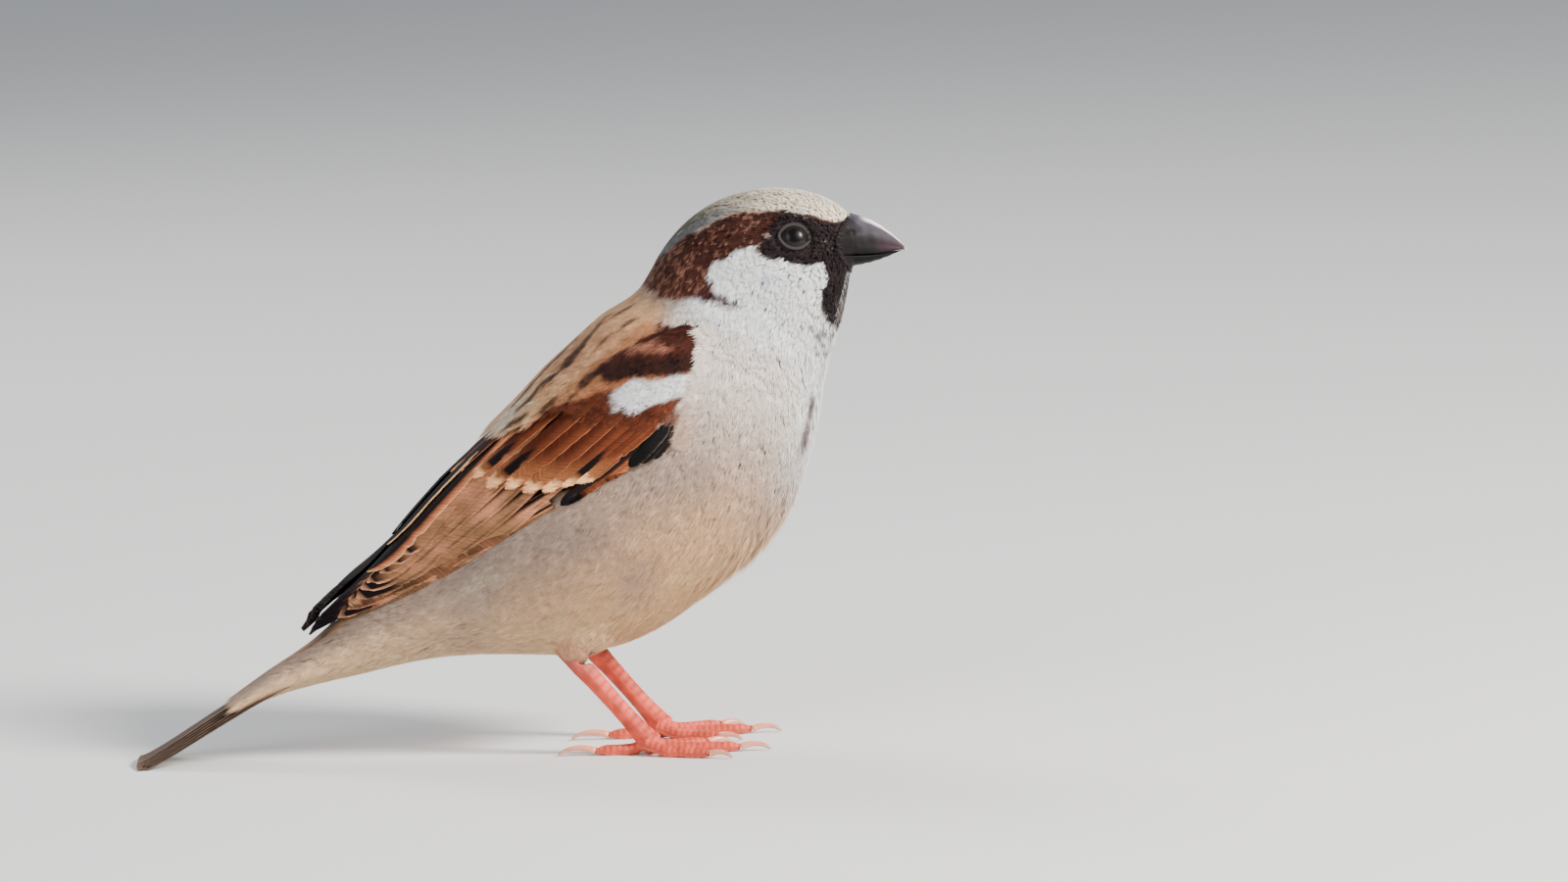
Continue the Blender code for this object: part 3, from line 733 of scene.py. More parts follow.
def seat_eye(points, side):
    """Skin points moved so that the skin meets the lids of one eye."""
    centre, axis, forward, upward = eye_frame(side)
    off = points - centre
    ring = lid_distance(off, forward, upward)
    ball = np.where(ring < 1.0, EYEBALL_RADIUS - 0.35, EYEBALL_RADIUS + 0.06)
    target = centre + unit(off) * ball[..., None]
    share = smooth(EYE_SKIN_REACH, 1.15, ring) * (off @ axis > 0)
    return np.where((share > 0)[..., None], mix(points, target, share), points)


def lid_ring(pile, side):
    """The bare rim of skin round an eye, as a beaded ring lying on the eyeball."""
    centre, axis, forward, upward = eye_frame(side)
    turns, rounds = 96, 14
    theta = np.linspace(0, 2 * math.pi, turns, endpoint=False)
    phi = np.linspace(0, 2 * math.pi, rounds, endpoint=False)
    girth = 0.2 * (1 + 0.10 * np.sin(theta * 26))
    corner = 1 + 0.08 * np.abs(np.cos(theta)) ** 8
    across = forward * (np.cos(theta) * corner)[:, None] * LID_HALF_LENGTH
    across = across + upward * np.sin(theta)[:, None] * LID_HALF_HEIGHT
    spot = np.linalg.norm(across, axis=-1, keepdims=True)
    rim = unit(axis * np.sqrt(np.maximum(EYEBALL_RADIUS**2 - spot**2, 0.1)) + across)
    out = centre + rim[:, None] * (EYEBALL_RADIUS + 0.05 + (np.sin(phi) * girth[:, None])[..., None])
    out = out + unit(across)[:, None] * (np.cos(phi) * girth[:, None] * 1.6)[..., None]
    points = out.reshape(-1, 3)
    index = np.arange(turns * rounds).reshape(turns, rounds)
    ahead = np.roll(index, -1, 0)
    quads = np.stack([index, ahead, np.roll(ahead, -1, 1), np.roll(index, -1, 1)], -1).reshape(-1, 4)
    hub = centre + rim[0] * (EYEBALL_RADIUS + 0.05)
    blocks = turned_out([quads], points, 0, points[0] - hub)
    lit = smooth(0.2, 1.0, np.sin(phi))[None] * np.ones((turns, 1))
    around = np.stack([np.repeat(theta, rounds), np.tile(phi, turns)], -1) * 0.0005
    maps = unwrap(1.45, dict(SIDES)[side] * 1.2) + around
    pile.add(points, blocks, mix(shade(26, 22, 23), shade(62, 57, 57), lit), maps)


def make_skin():
    """One closed skin from the bill's root to the tail, inside the plumage by the coat's depth."""
    stations = np.concatenate([np.linspace(0, 3, 120)[:-1], np.linspace(3, 10.6, 190)])
    angles = np.linspace(-math.pi, math.pi, 217)
    s, a = np.meshgrid(stations, angles, indexing="ij")
    points, normals, _, _ = plumage.read(s, a)
    points = points - normals * coat_depth(s, a)[..., None]
    spine = through(SPINE, stations)
    middle = np.stack([spine[:, 0], np.zeros(len(spine)), spine[:, 1]], -1)[:, None]
    points = mix(points, middle, np.clip((s - 8.6) / 2.0, 0, 0.45))
    for side, _ in SIDES:
        points = seat_eye(points, side)
    tint, _ = paint(s, a, points)
    tint = tint * (0.97 + drift(points, 1.0, 9)[..., None] * 0.06)
    pile = Pile()
    maps = np.stack([0.02 + 0.96 * s / LAST, 0.02 + 0.96 * (a + math.pi) / (2 * math.pi)], -1)
    faces = [grid_faces(*s.shape)]
    pile.add(points, faces if RIGHT_HANDED else turned_over(faces), tint, maps)

    # the two ends are drawn in and closed
    count = len(angles)
    k = np.arange(count - 1)
    quads = np.stack([k, k + 1, count + k + 1, count + k], -1)
    fan = np.stack([count + k, count + k + 1, np.full(count - 1, 2 * count)], -1)
    for row, lead in ((0, np.array([0.5, 0, 0])), (len(stations) - 1, np.array([-0.4, 0, -0.15]))):
        ring = points[row]
        centre = ring[:-1].mean(0)
        inner = centre + (ring - centre) * 0.5 + lead * 0.8
        cap = np.concatenate([ring, inner, (centre + lead)[None]])
        blocks = [quads, fan]
        if (row == 0) == RIGHT_HANDED:
            blocks = turned_over(blocks)
        tints, where = (np.concatenate([grid[row], grid[row], grid[row][:1]]) for grid in (tint, maps))
        pile.add(cap, blocks, tints, where)
    for side, _ in SIDES:
        lid_ring(pile, side)
    add_thighs(pile)
    piece = pile.build("skin", SKIN, "body_feathers", FLESH + WINGS, flat=False)
    work = bmesh.new()
    work.from_mesh(piece.data)
    bmesh.ops.remove_doubles(work, verts=work.verts, dist=1e-7)
    work.to_mesh(piece.data)
    work.free()


# ---------------------------------------------------------------- tufts of feathers


def scatter(low, high, spacing, keep):
    """Roots between two stations, no closer together than spacing mm, where keep(s, a) holds."""
    stations = np.linspace(low, high, 500)
    angles = np.linspace(-math.pi, math.pi, 361)[:-1]
    s, a = np.meshgrid(stations, angles, indexing="ij")
    _, _, per_station, per_radian = plumage.read(s, a)
    cell = per_station * (stations[1] - stations[0]) * per_radian * (angles[1] - angles[0])
    weight = np.where(keep(s, a), cell / (spacing * spacing), 0).ravel()
    tries = int(weight.sum() * 4.5)
    picks = rng.choice(len(weight), tries, p=weight / weight.sum())
    s = s.ravel()[picks] + (rng.random(tries) - 0.5) * (stations[1] - stations[0])
    a = a.ravel()[picks] + (rng.random(tries) - 0.5) * (angles[1] - angles[0])
    points, _, _, _ = plumage.read(s, a)
    tree = KDTree(tries)
    for k, point in enumerate(points):
        tree.insert(point, k)
    tree.balance()
    alive = np.ones(tries, bool)
    chosen = []
    for k in range(tries):
        if not alive[k]:
            continue
        chosen.append(k)
        for _, other, _ in tree.find_range(points[k], spacing):
            alive[other] = False
    return s[chosen], a[chosen]


def tail_first(s, a):
    """The roots from the tail forwards."""
    order = np.argsort(-s)
    return s[order], a[order]


PATCH = 0.003  # how much of the unwrap a tuft takes, round its root's place
# A closed barb's faces: base, left, right and ridge at its widest place, and tip
BARB_FACES = np.array([[0, 2, 3], [0, 3, 1], [2, 4, 3], [3, 4, 1], [0, 1, 2], [1, 4, 2]])


def tufts(pile, s, a, length, width, fingers, depth, raise_tip, lift=None, yaw=0.0, colours=None,
          ground=plumage, tone=0.05):
    """Fans of thin closed barbs rooted at stations and angles, lying back along the body.

    Length and width are in mm, depth is how far under the surface the roots sit, raise_tip how far
    over it the tips stand, lift(s, a) what the tufts stand on, and tone how much their brightness varies.
    """
    count = len(s)
    given = (length, width, depth, yaw, raise_tip)
    columns = (np.broadcast_to(np.asarray(value, float), (count,))[:, None] for value in given)
    length, width, depth, yaw, raise_tip = columns
    length = length * (1 + 0.16 * rng.standard_normal((count, 1)))
    yaw = yaw + 0.13 * rng.standard_normal((count, 1))
    rank = (np.arange(fingers) + 0.5) / fingers * 2 - 1
    rank = rank[None] + rng.uniform(-0.5, 0.5, (count, fingers)) / fingers
    reach = length * (1 - 0.34 * rank**2) * (1 - 0.22 * rng.random((count, fingers)))
    half = width / fingers * rng.uniform(0.45, 0.75, (count, fingers))
    curl = 0.05 * rng.standard_normal((count, fingers)) * length
    rise = rng.uniform(0.7, 1.2, (count, fingers)) * raise_tip
    ridge = 0.015 + 0.12 * half
    zero = np.zeros((count, fingers))
    # where each barb's five points lie: along and across the tuft, and above the surface
    spread = width / 2 * rank
    widest, aside = reach * 0.62, spread * 0.85
    along = np.stack([zero, widest, widest, widest, reach], -1)
    across = np.stack([spread * 0.3, aside - half, aside + half, aside, spread + curl], -1)
    bend = -depth * 0.22 + rise * 0.4
    height = np.stack([-depth + zero, bend, bend, bend + ridge, rise], -1)
    turn_cos, turn_sin = np.cos(yaw)[..., None], np.sin(yaw)[..., None]
    _, _, per_station, per_radian = ground.read(s, a)
    vs = s[:, None, None] + (along * turn_cos - across * turn_sin) / per_station[:, None, None]
    around = (along * turn_sin + across * turn_cos) / np.maximum(per_radian, 0.6)[:, None, None]
    va = a[:, None, None] + around
    points, normals, _, _ = ground.read(vs, va)
    stand = lift(vs, va) if lift else 0.0
    points = points + normals * (height + stand)[..., None]
    if colours is None:
        body, _ = paint(vs[..., 3], va[..., 3], points[..., 3, :])
        _, edge = paint(vs[..., 4], va[..., 4], points[..., 4, :])
    else:
        body, edge = colours
    bright = 1 + tone * rng.standard_normal((count, 1))
    bright = (bright * (1 + tone * rng.standard_normal((count, fingers))))[..., None]
    body, edge = body * bright, edge * bright
    # each barb is painted a little darker at its root, painted shade where tufts overlap, and a little
    # lighter on its raised ridge, a painted highlight
    tints = np.stack([body * 0.97, body, body, body * 1.02, edge], -2)
    root = unwrap(s, a)[:, None, None]
    patch = np.stack([along / length[..., None], across / width[..., None] + 0.5], -1) * PATCH - PATCH / 2
    maps = root + np.clip(patch, -PATCH / 2, PATCH / 2)
    faces = BARB_FACES if RIGHT_HANDED else BARB_FACES[:, ::-1]
    faces = (faces[None] + (np.arange(count * fingers) * 5)[:, None, None]).reshape(-1, 3)
    pile.add(points, [faces], np.clip(tints, 0.003, 0.97), maps, lie=normals)


def clear_of_eyes(s, a, reach):
    points, _, _, _ = plumage.read(s, a)
    clear = np.ones(np.shape(s), bool)
    for side, _ in SIDES:
        centre, axis, forward, upward = eye_frame(side)
        off = points - centre
        clear &= ~((lid_distance(off, forward, upward) < reach) & (off @ axis > 0))
    return clear


BILL_LINE = ((0, 18, 40, 60, 82, 102, 120, 135, 180), (0, 0.02, 0.18, 0.38, 0.58, 0.66, 0.48, 0.3, 0.12))


def bill_line(degrees):
    """The station where the feathers give way to the bill."""
    return np.interp(degrees, *BILL_LINE)


# Each band of the coat: name, stations, spacing, length, width, barbs in a tuft, slot
COAT_BANDS = (
    ("coat_face", 0.02, 1.5, 0.42, 1.4, 0.62, 6, "head_feathers"),
    ("coat_crown", 1.5, 2.5, 0.48, 2.1, 0.85, 8, "head_feathers"),
    ("coat_nape", 2.5, 3.5, 0.56, 3.1, 1.2, 10, "head_feathers"),
    ("coat_breast", 3.5, 4.6, 0.70, 4.6, 2.0, 14, "body_feathers"),
    ("coat_flank", 4.6, 5.9, 0.78, 5.6, 2.3, 15, "body_feathers"),
    ("coat_belly", 5.9, 7.3, 0.82, 6.2, 2.4, 15, "body_feathers"),
    ("coat_vent", 7.3, 9.2, 0.78, 5.0, 1.9, 13, "body_feathers"),
)


def feathered(s, a):
    """Whether the body's own small feathers grow there: not under the wing, the bill or the lids."""
    bare = (wing_margin(s, a) > 2.4) | (s < bill_line(degrees_off_back(a)))
    return ~bare & clear_of_eyes(s, a, 1.32)


def make_coat():
    """The plumage of the head, neck, breast, belly, flanks, back and vent, in bands along the body."""
    for name, low, high, spacing, length, width, fingers, slot in COAT_BANDS:
        s, a = tail_first(*scatter(low, high, spacing, feathered))
        d = degrees_off_back(a)
        size = np.interp(s, (0, 0.6, 1.5, 2.5, 3.5), (0.7, 0.8, 1, 1, 1)) * (1 + 0.12 * smooth(100, 170, d))
        near_eye = 1 - 0.45 * (~clear_of_eyes(s, a, 1.9))
        depth = coat_depth(s, a) * np.interp(s, (0.0, 3.0, 4.6, 5.4), (0.55, 0.5, 0.65, 0.8))
        stray = rng.random(len(s)) ** 2
        loose = 0.06 + 1.3 * stray * smooth(140, 165, d) * smooth(4.4, 5.0, s) * smooth(6.0, 5.4, s)
        loose = loose + 0.4 * stray * smooth(135, 160, d) * smooth(1.0, 1.4, s) * smooth(3.0, 2.6, s)
        pile = Pile()
        tufts(pile, s, a, length * size * near_eye, width * near_eye, fingers, depth, loose,
              lift=back_rise, tone=0.05 if high < 4 else 0.08)
        pile.build(name, FLUFF, slot)


# ---------------------------------------------------------------- vaned feathers

ATLAS = 14  # feathers in a row of the wing's and tail's unwrap
VANE_COLUMNS = 13
SPLITS = 2  # nicks in each vane
TORN = 4  # columns that a nick takes in


def vane_tint(kind, u, v, half, length, p, rank):
    """Linear colours over one vane: u runs from its inner to its outer edge, v from root to tip.

    Half is its half width at v, and rank its place in the row from 0 to 1, or how black a wedge is.
    """
    side = (1 - np.abs(u)) * half
    end = (1 - v) * length
    rim = np.minimum(side, end * 0.8) + drift(p, 0.6, 21) * 0.05
    outer = smooth(-0.05, 0.1, u)
    cloud = drift(p, 1.6, 22)[..., None] * 0.08 + 1
    if kind == "primary":
        colour = mix(shade(18, 10, 15), shade(26, 16, 21), smooth(0.2, 0.9, u))
        waves = np.sin(side * 9) + drift(p, 1.2, 25)
        web = mix(shade(170, 122, 84), shade(124, 82, 56), smooth(-0.2, 0.6, waves))
        colour = mix(colour, web, smooth(0.05, 0.2, u) * smooth(5.0, 10.0, end))
        colour = mix(colour, shade(150, 128, 112), smooth(0.2, 0.08, rim) * smooth(1.6, 0.8, end) * 0.2)
    elif kind == "secondary":
        web = mix(shade(160, 116, 80), shade(188, 146, 110), smooth(-0.5, 0.7, drift(p, 3.0, 24)))
        line = smooth(0.22, 0.08, np.abs(side - 0.5)) * outer * smooth(0.3, 0.6, rank)
        line = line * smooth(2.0, 5.0, end) * smooth(-0.5, 0.3, drift(p, 2.0, 26))
        web = mix(web, shade(112, 84, 60), line)
        colour = mix(shade(30, 18, 20), web, smooth(-0.35, -0.1, u))
        late = smooth(0.35, 0.75, rank)
        dark = smooth(2.8 + 6.0 * late, 1.9 + 4.5 * late, end)
        dark = dark * smooth(0.26 - 0.12 * late, 0.4 - 0.14 * late, side)
        colour = mix(colour, shade(24, 13, 18), dark)
        pale = smooth(0.3, 0.14, rim) * smooth(3.2, 1.2, end) * (0.9 - 0.3 * late)
        colour = mix(colour, shade(208, 176, 146), pale)
    elif kind == "tertial":
        web = mix(shade(168, 106, 68), shade(206, 154, 112), smooth(1.0, 0.45, side))
        web = mix(shade(24, 12, 19), web, np.full(np.shape(u), smooth(0.6, 0.9, rank)))
        colour = mix(shade(24, 12, 19), web, smooth(0.3, 0.4, u + drift(p, 1.0, 23) * 0.08))
        cream = smooth(0.55, 0.35, rim + 0.3 * (rank > 0.75)) * smooth(0.1, 0.4, u) * smooth(0.1, 0.4, rank)
        colour = mix(colour, shade(222, 188, 152), cream)
    elif kind == "greater":
        colour = mix(shade(84, 37, 21), shade(114, 58, 34), smooth(-0.3, 0.8, u))
        colour = mix(colour, shade(160, 100, 62), smooth(0.62, 0.88, v))
        wedge = smooth(0.0, 0.2, 0.75 * smooth(0.52, 0.76, v) - np.abs(u - 0.15)) * smooth(0.875, 0.84, v)
        colour = mix(colour, shade(24, 14, 15), wedge * rank)
        rufous_rim = smooth(0.16, 0.06, side) * outer * smooth(0.05, 0.2, v)
        colour = mix(colour, shade(176, 122, 84), rufous_rim * 0.7)
        colour = mix(colour, shade(220, 184, 146), smooth(0.885, 0.925, v + 0.03 * drift(p, 0.5, 27)))
    elif kind == "alula":
        colour = mix(shade(12, 8, 8), shade(22, 16, 15), smooth(0.0, 1.0, u))
        colour = mix(colour, shade(104, 92, 84), smooth(0.2, 0.08, rim) * outer * 0.5)
    elif kind == "primary_covert":
        lit = smooth(0.75, 0.4, side) * outer * smooth(0.9, 0.8, v)
        colour = mix(shade(40, 26, 24), shade(178, 112, 70), lit)
        colour = mix(colour, shade(24, 16, 20), smooth(0.72, 0.84, v) * (1 - min(1.0, rank * 2.2)))
    else:
        colour = mix(shade(112, 90, 78), shade(150, 126, 108), smooth(0.9, 0.3, side))
        colour = mix(colour, shade(86, 66, 56), smooth(0.16, 0.04, rim))
    quill = smooth(0.06, 0.02, np.abs(u - 0.05)) * smooth(0.95, 0.7, v)
    return mix(colour * cloud, colour * 0.62, quill)


def vane_outline(v, shape):
    """Half width from root to tip as a share of the widest. Shape is how blunt the tip is."""
    foot = 0.35 + 0.65 * smooth(0, 0.3, v)
    return foot * np.sqrt(np.clip(1 - np.clip((v - shape) / (1 - shape), 0, 0.995) ** 2.4, 0.004, 1))


def vane(pile, place, length, width, kind, number, flip, shape, rank=1.0, rows=26):
    """One closed feather blade. place(u_mm, v, u) gives points (rows, columns, 3) in mm."""
    v = np.linspace(0, 1, rows) ** 0.85
    u = np.sin(np.linspace(-math.pi / 2, math.pi / 2, VANE_COLUMNS))
    half = width / 2 * vane_outline(v, shape)
    reach = np.ones((rows, VANE_COLUMNS))
    for _ in range(SPLITS):
        row = rng.integers(rows // 2, rows - 3)
        depth = rng.uniform(0.12, 0.3)
        torn = slice(None, TORN) if rng.random() < 0.5 else slice(-TORN - 1, None)
        reach[row, torn] = 1 - depth
    ragged = 1 + 0.02 * rng.standard_normal(rows)
    across = u[None] * half[:, None] * reach * ragged[:, None]
    u, v, half = np.broadcast_arrays(u[None], v[:, None], half[:, None])
    points = place(across, v, u)
    tint = vane_tint(kind, u, v, half, length, points, rank)
    tint = tint * (1 + 0.05 * rng.standard_normal())
    blocks = strip_faces(rows, VANE_COLUMNS)
    cell = np.array([number % ATLAS, number // ATLAS % ATLAS]) / ATLAS
    maps = cell + np.stack([0.5 + u * 0.46, 0.03 + v * 0.94], -1) / ATLAS
    fine = np.stack([v * length + np.abs(across) * 0.8, across], -1)
    pile.add(points, turned_over(blocks) if flip else blocks, np.clip(tint, 0.003, 0.95), maps, fine)


def folded(root, tip, way, layer, base, curve, tip_rise, tip_lean):
    """A place function for a vane of the folded wing, from root to tip given as (station, degrees).

    Layer is its share of the wing's rise, base its height over that, and curve how far it is tilted
    and crowned, all in mm.
    """
    root_s, root_a = root[0], math.radians(root[1])
    tip_s, tip_a = tip[0], math.radians(tip[1])

    def place(across, v, u):
        s = root_s + (tip_s - root_s) * v
        a = root_a + (tip_a - root_a) * v
        _, _, per_station, per_radian = plumage.read(s, way * a)
        lead = unit(np.stack([(tip_s - root_s) * per_station, (tip_a - root_a) * per_radian], -1))
        s = s - lead[..., 1] * across / per_station
        a = a + lead[..., 0] * across / np.maximum(per_radian, 1.0)
        points, normals, _, _ = plumage.read(s, way * a)
        height = layer * wing_lift(s, way * a) + base + curve * u - 0.35 * (1 - v) ** 2
        height = height + tip_lean * u * smooth(0.5, 0.85, v)
        shaft = 0.05 * np.exp(-((u - 0.05) / 0.1) ** 2)
        height = height + curve * (1 - u**2) + shaft + tip_rise * smooth(0.5, 1, v)
        return points + normals * height[..., None]

    start, _, _, _ = plumage.read(root_s, way * root_a)
    end, _, _, _ = plumage.read(tip_s, way * tip_a)
    return place, float(np.linalg.norm(end - start))


# Each row of wing feathers: kind, how many, the roots' and the tips' (station, degrees) from the innermost
# feather to the outermost, widths, layer (share of the wing's rise), base heights, tip bluntness
FEATHER_ROWS = (
    ("primary", 8, ((5.5, 36), (5.6, 52), (5.75, 65)), ((7.9, 7), (8.12, 13), (8.3, 18), (8.5, 22)),
     (5.2, 3.6), 0.62, (0.4, 0.0), 0.66),
    ("secondary", 8, ((5.0, 24), (5.1, 40), (5.5, 62)),
     ((7.05, 31), (7.38, 30), (7.64, 31), (7.86, 35), (8.15, 39)), (4.4, 3.2), 0.78, (0.5, 0.05), 0.8),
    ("primary_covert", 4, ((4.7, 78), (4.78, 82)), ((5.72, 67.5), (5.45, 71), (5.3, 74)),
     (2.4, 2.0), 0.8, (0.2, 0.1), 0.75),
    ("tertial", 3, ((4.85, 6), (4.95, 19), (5.05, 26)), ((7.05, 2), (7.15, 12), (7.52, 23)),
     (5.0, 4.6), 1.0, (0.4, 0.05), 0.75),
    ("alula", 3, ((4.58, 82), (4.64, 86)), ((5.1, 79), (5.02, 82.5), (4.94, 85)),
     (2.1, 1.6), 0.9, (0.3, 0.2), 0.7),
    ("greater", 10, ((4.7, 18), (4.55, 42), (4.4, 60), (4.3, 72), (4.35, 79)),
     ((6.05, 11), (5.92, 33), (5.8, 50), (5.56, 62), (5.42, 68)), (3.0, 2.5), 0.95, (0.3, 0.15), 0.8),
)
FLIGHT_KINDS = ("primary", "secondary", "tertial")
FLAT_KINDS = ("secondary", "greater")
# How black the wedge near each greater covert's tip is, from the innermost feather outwards
WEDGES = (0.3, 0.95, 1.0, 1.0, 0.0, 0.0, 0.1, 1.0, 0.0, 0.0)
# The far wing sits lower at the back's middle, and its primaries' tips cross above the near wing's
FAR_DROP = {"tertial": 0.38, "greater": 0.3}
FAR_TIP_SHIFT = (0.05, -13)
FAR_TIP_RISE = 1.3
FAR_TIP_LEAN = 0.2


def fringe_tip(pile, root, tip, way, width, layer, base):
    """The frayed pale end of a covert: loose barbs that carry on past its tip."""
    root_a, tip_a = math.radians(root[1]), math.radians(tip[1])
    _, _, per_station, per_radian = plumage.read(tip[0], way * tip_a)
    yaw = way * math.atan2((tip_a - root_a) * per_radian, (tip[0] - root[0]) * per_station)
    count = 5
    across = np.linspace(-0.3, 0.3, count) * width
    along = -0.9 - 0.7 * (across / width / 0.3) ** 2 - rng.uniform(0.0, 0.3, count)
    s = tip[0] + (along * math.cos(yaw) - across * math.sin(yaw)) / per_station
    a = way * tip_a + (along * math.sin(yaw) + across * math.cos(yaw)) / per_radian
    root_tint = np.ones((count, 6, 1)) * shade(176, 120, 78)
    tip_tint = np.ones((count, 6, 1)) * shade(216, 182, 144)
    tufts(pile, s, a, 1.3, 0.9, 6, 0.0, 0.02, lift=lambda s, a: layer * wing_lift(s, a) + base + 0.04,
          yaw=yaw, colours=(mix(root_tint, tip_tint, 0.4), tip_tint))


def part_way(rows, t):
    return through(rows, np.array([t * (len(rows) - 1)]))[0]


def make_wings():
    """Each folded wing's feathers, row by row from the lowest, each row from its outermost feather."""
    for side, way in SIDES:
        coverts, flight = Pile(), Pile()
        number = 0
        for kind, count, roots, tips, widths, layer, bases, shape in FEATHER_ROWS:
            pile = flight if kind in FLIGHT_KINDS else coverts
            curve = 0.08 if kind in FLAT_KINDS else 0.16
            crossing = kind == "primary" and way > 0
            for i in range(count - 1, -1, -1):
                t = i / (count - 1)
                root = part_way(roots, t) + rng.normal(0, (0.01, 0.4))
                tip = part_way(tips, t) + rng.normal(0, (0.012, 0.4))
                base = bases[0] + (bases[1] - bases[0]) * t
                if way > 0:
                    base = base - FAR_DROP.get(kind, 0.0)
                tip_rise = tip_lean = 0.0
                if crossing:
                    tip = tip + FAR_TIP_SHIFT
                    tip_rise, tip_lean = FAR_TIP_RISE, FAR_TIP_LEAN
                place, length = folded(root, tip, way, layer, base, curve, tip_rise, tip_lean)
                width = widths[0] + (widths[1] - widths[0]) * t
                rank = WEDGES[i] if kind == "greater" else t
                vane(pile, place, length, width, kind, number, RIGHT_HANDED != (way > 0), shape, rank)
                number += 1
                if kind == "greater":
                    fringe_tip(pile, root, tip, way, width, layer, base)
        flight.build(f"flight_feathers_{side}", VANE, "flight_feathers", flat=False)
        coverts.build(f"wing_coverts_{side}", VANE, "wing_coverts", flat=False)


def mantle_lift(s, a):
    """What the mantle's feathers stand on: the wing, and further back the inner coverts too."""
    return wing_lift(s, a) + 0.6 * smooth(4.3, 4.8, s) * smooth(50, 42, degrees_off_back(a))


def bend_lift(s, a):
    return wing_lift(s, a) + 0.12


def mantle_edge(s):
    """Degrees off the back where the mantle and scapulars give way to the lesser coverts."""
    return np.interp(s, (3.4, 4.0, 4.36, 4.6, 4.83, 5.12, 5.3, 5.42), (53, 48, 47, 44, 39, 33, 27, 8))


def make_mantle():
    """The mantle, scapulars and lesser coverts: tufts that stand on the folded wings and the back."""
    for side, way in SIDES:
        def along_bend(s, a):
            beside = np.abs(wing_margin(s, a) + 1.2) < 0.7
            return beside & (a * way > math.radians(66)) & (a * way < math.radians(120))

        def on_back(s, a):
            return ((wing_margin(s, a) > -0.4) | (degrees_off_back(a) < 40)) & (a * way > 0)

        def lesser(s, a):
            d = degrees_off_back(a)
            low_edge = np.interp(s, (3.4, 4.4, 4.6, 4.8), (95, 88, 76, 56))
            return on_back(s, a) & (d >= mantle_edge(s) - 2) & (d < low_edge)

        def mantle(s, a):
            return on_back(s, a) & (degrees_off_back(a) < mantle_edge(s))

        pile = Pile()
        s, a = scatter(3.3, 4.7, 0.55, along_bend)
        pale = mix(shade(208, 200, 194), shade(188, 172, 158), smooth(3.9, 4.5, s))
        pale = pale[:, None] * np.ones((1, 18, 1))
        tufts(pile, s, a, 3.0, 1.7, 18, 0.3, 0.1, lift=bend_lift, yaw=-0.35 * way,
              colours=(pale, pale * 1.05), tone=0.1)
        zones = (
            (3.4, 4.8, 3.2, 1.8, 13, -0.25, lesser),
            (3.3, 5.42, 3.7, 1.7, 15, -0.12, mantle),
        )
        for low, high, length, width, fingers, yaw, wanted in zones:
            s, a = tail_first(*scatter(low, high, 0.6, wanted))
            tufts(pile, s, a, length, width, fingers, 0.4, 0.14, lift=mantle_lift, yaw=yaw * way, tone=0.16)
        pile.build(f"scapulars_{side}", FLUFF, "wing_coverts")


# ---------------------------------------------------------------- the tail


def tail_place(root, tip, layer_root, layer_tip):
    """A place function for a tail feather between (station, mm off the middle) ends."""

    def place(across, v, u):
        s = root[0] + (tip[0] - root[0]) * v
        y = root[1] + (tip[1] - root[1]) * v + across
        x, z, lean = np.moveaxis(through(SPINE, s), -1, 0)
        lean = np.radians(lean)
        height = layer_root + (layer_tip - layer_root) * v + 0.14 * (1 - u**2) * (1 - 0.5 * v)
        height = height - 0.012 * y**2 * (1 - 0.8 * v)
        return np.stack([x - np.sin(lean) * height, y, z + np.cos(lean) * height], -1)

    a, b = (through(SPINE, np.array([e]))[0] for e in (root[0], tip[0]))
    return place, float(math.hypot(a[0] - b[0], a[1] - b[1]))


def make_tail():
    """Twelve tail feathers in six pairs, the outermost pair lowest."""
    pile = Pile()
    number = 0
    for k in range(5, -1, -1):
        for _, way in SIDES:
            root = (8.3, way * (0.5 + 0.55 * k))
            tip = (10.98 - 0.035 * abs(k - 4.2), way * (1.0 + 0.82 * k))
            place, length = tail_place(root, tip, 1.0 - 0.42 * k, 0.68 - 0.12 * k)
            vane(pile, place, length, 6.3 - 0.25 * k, "rectrix", number, False, 0.86, rows=36)
            number += 1
    pile.build("tail_feathers", VANE, "tail_feathers", flat=False)


# ---------------------------------------------------------------- thighs

HOCKS = {"right": (7.45, -9.4, 16.4), "left": (9.15, 9.2, 16.2)}
FOOT_BALLS = {"right": (19.15, -8.5, 2.0), "left": (20.95, 8.5, 2.0)}
THIGH_GIRTH = 4.4


class Cone:
    """A drop of flesh, read like the body: by station, 0 at its top and 1 at its foot, and angle."""

    def __init__(self, top, foot, girth):
        top, foot = np.array(top), np.array(foot)
        self.centre, self.half, self.girth = (top + foot) / 2, np.linalg.norm(top - foot) / 2, girth
        self.axis = unit(top - foot)
        self.front = unit(np.array([1.0, 0, 0]) - self.axis * self.axis[0])
        self.side = np.cross(self.axis, self.front)

    def read(self, station, angle):
        station = np.clip(np.asarray(station, float), 0.02, 0.995)
        angle = np.asarray(angle, float)
        polar = math.pi * station
        around = self.front * np.cos(angle)[..., None] + self.side * np.sin(angle)[..., None]
        out = np.sin(polar) ** 0.8 * self.girth * (1 - 0.3 * smooth(0.35, 1.0, station))
        points = self.centre + self.axis * (np.cos(polar) * self.half)[..., None] + around * out[..., None]
        tilt = np.cos(polar) / self.half - 0.06
        normals = unit(around * (np.sin(polar) / self.girth)[..., None] + self.axis * tilt[..., None])
        return points, normals, np.full(polar.shape, math.pi * self.half), np.maximum(out, 0.3)


def thigh_cone(side, grow=0.0):
    x, y, z = HOCKS[side]
    way = dict(SIDES)[side]
    return Cone((x - 2.0, y - 2.5 * way, z + 12.0 + grow), (x + 0.9, y, z - 1.7 - grow), THIGH_GIRTH + grow)


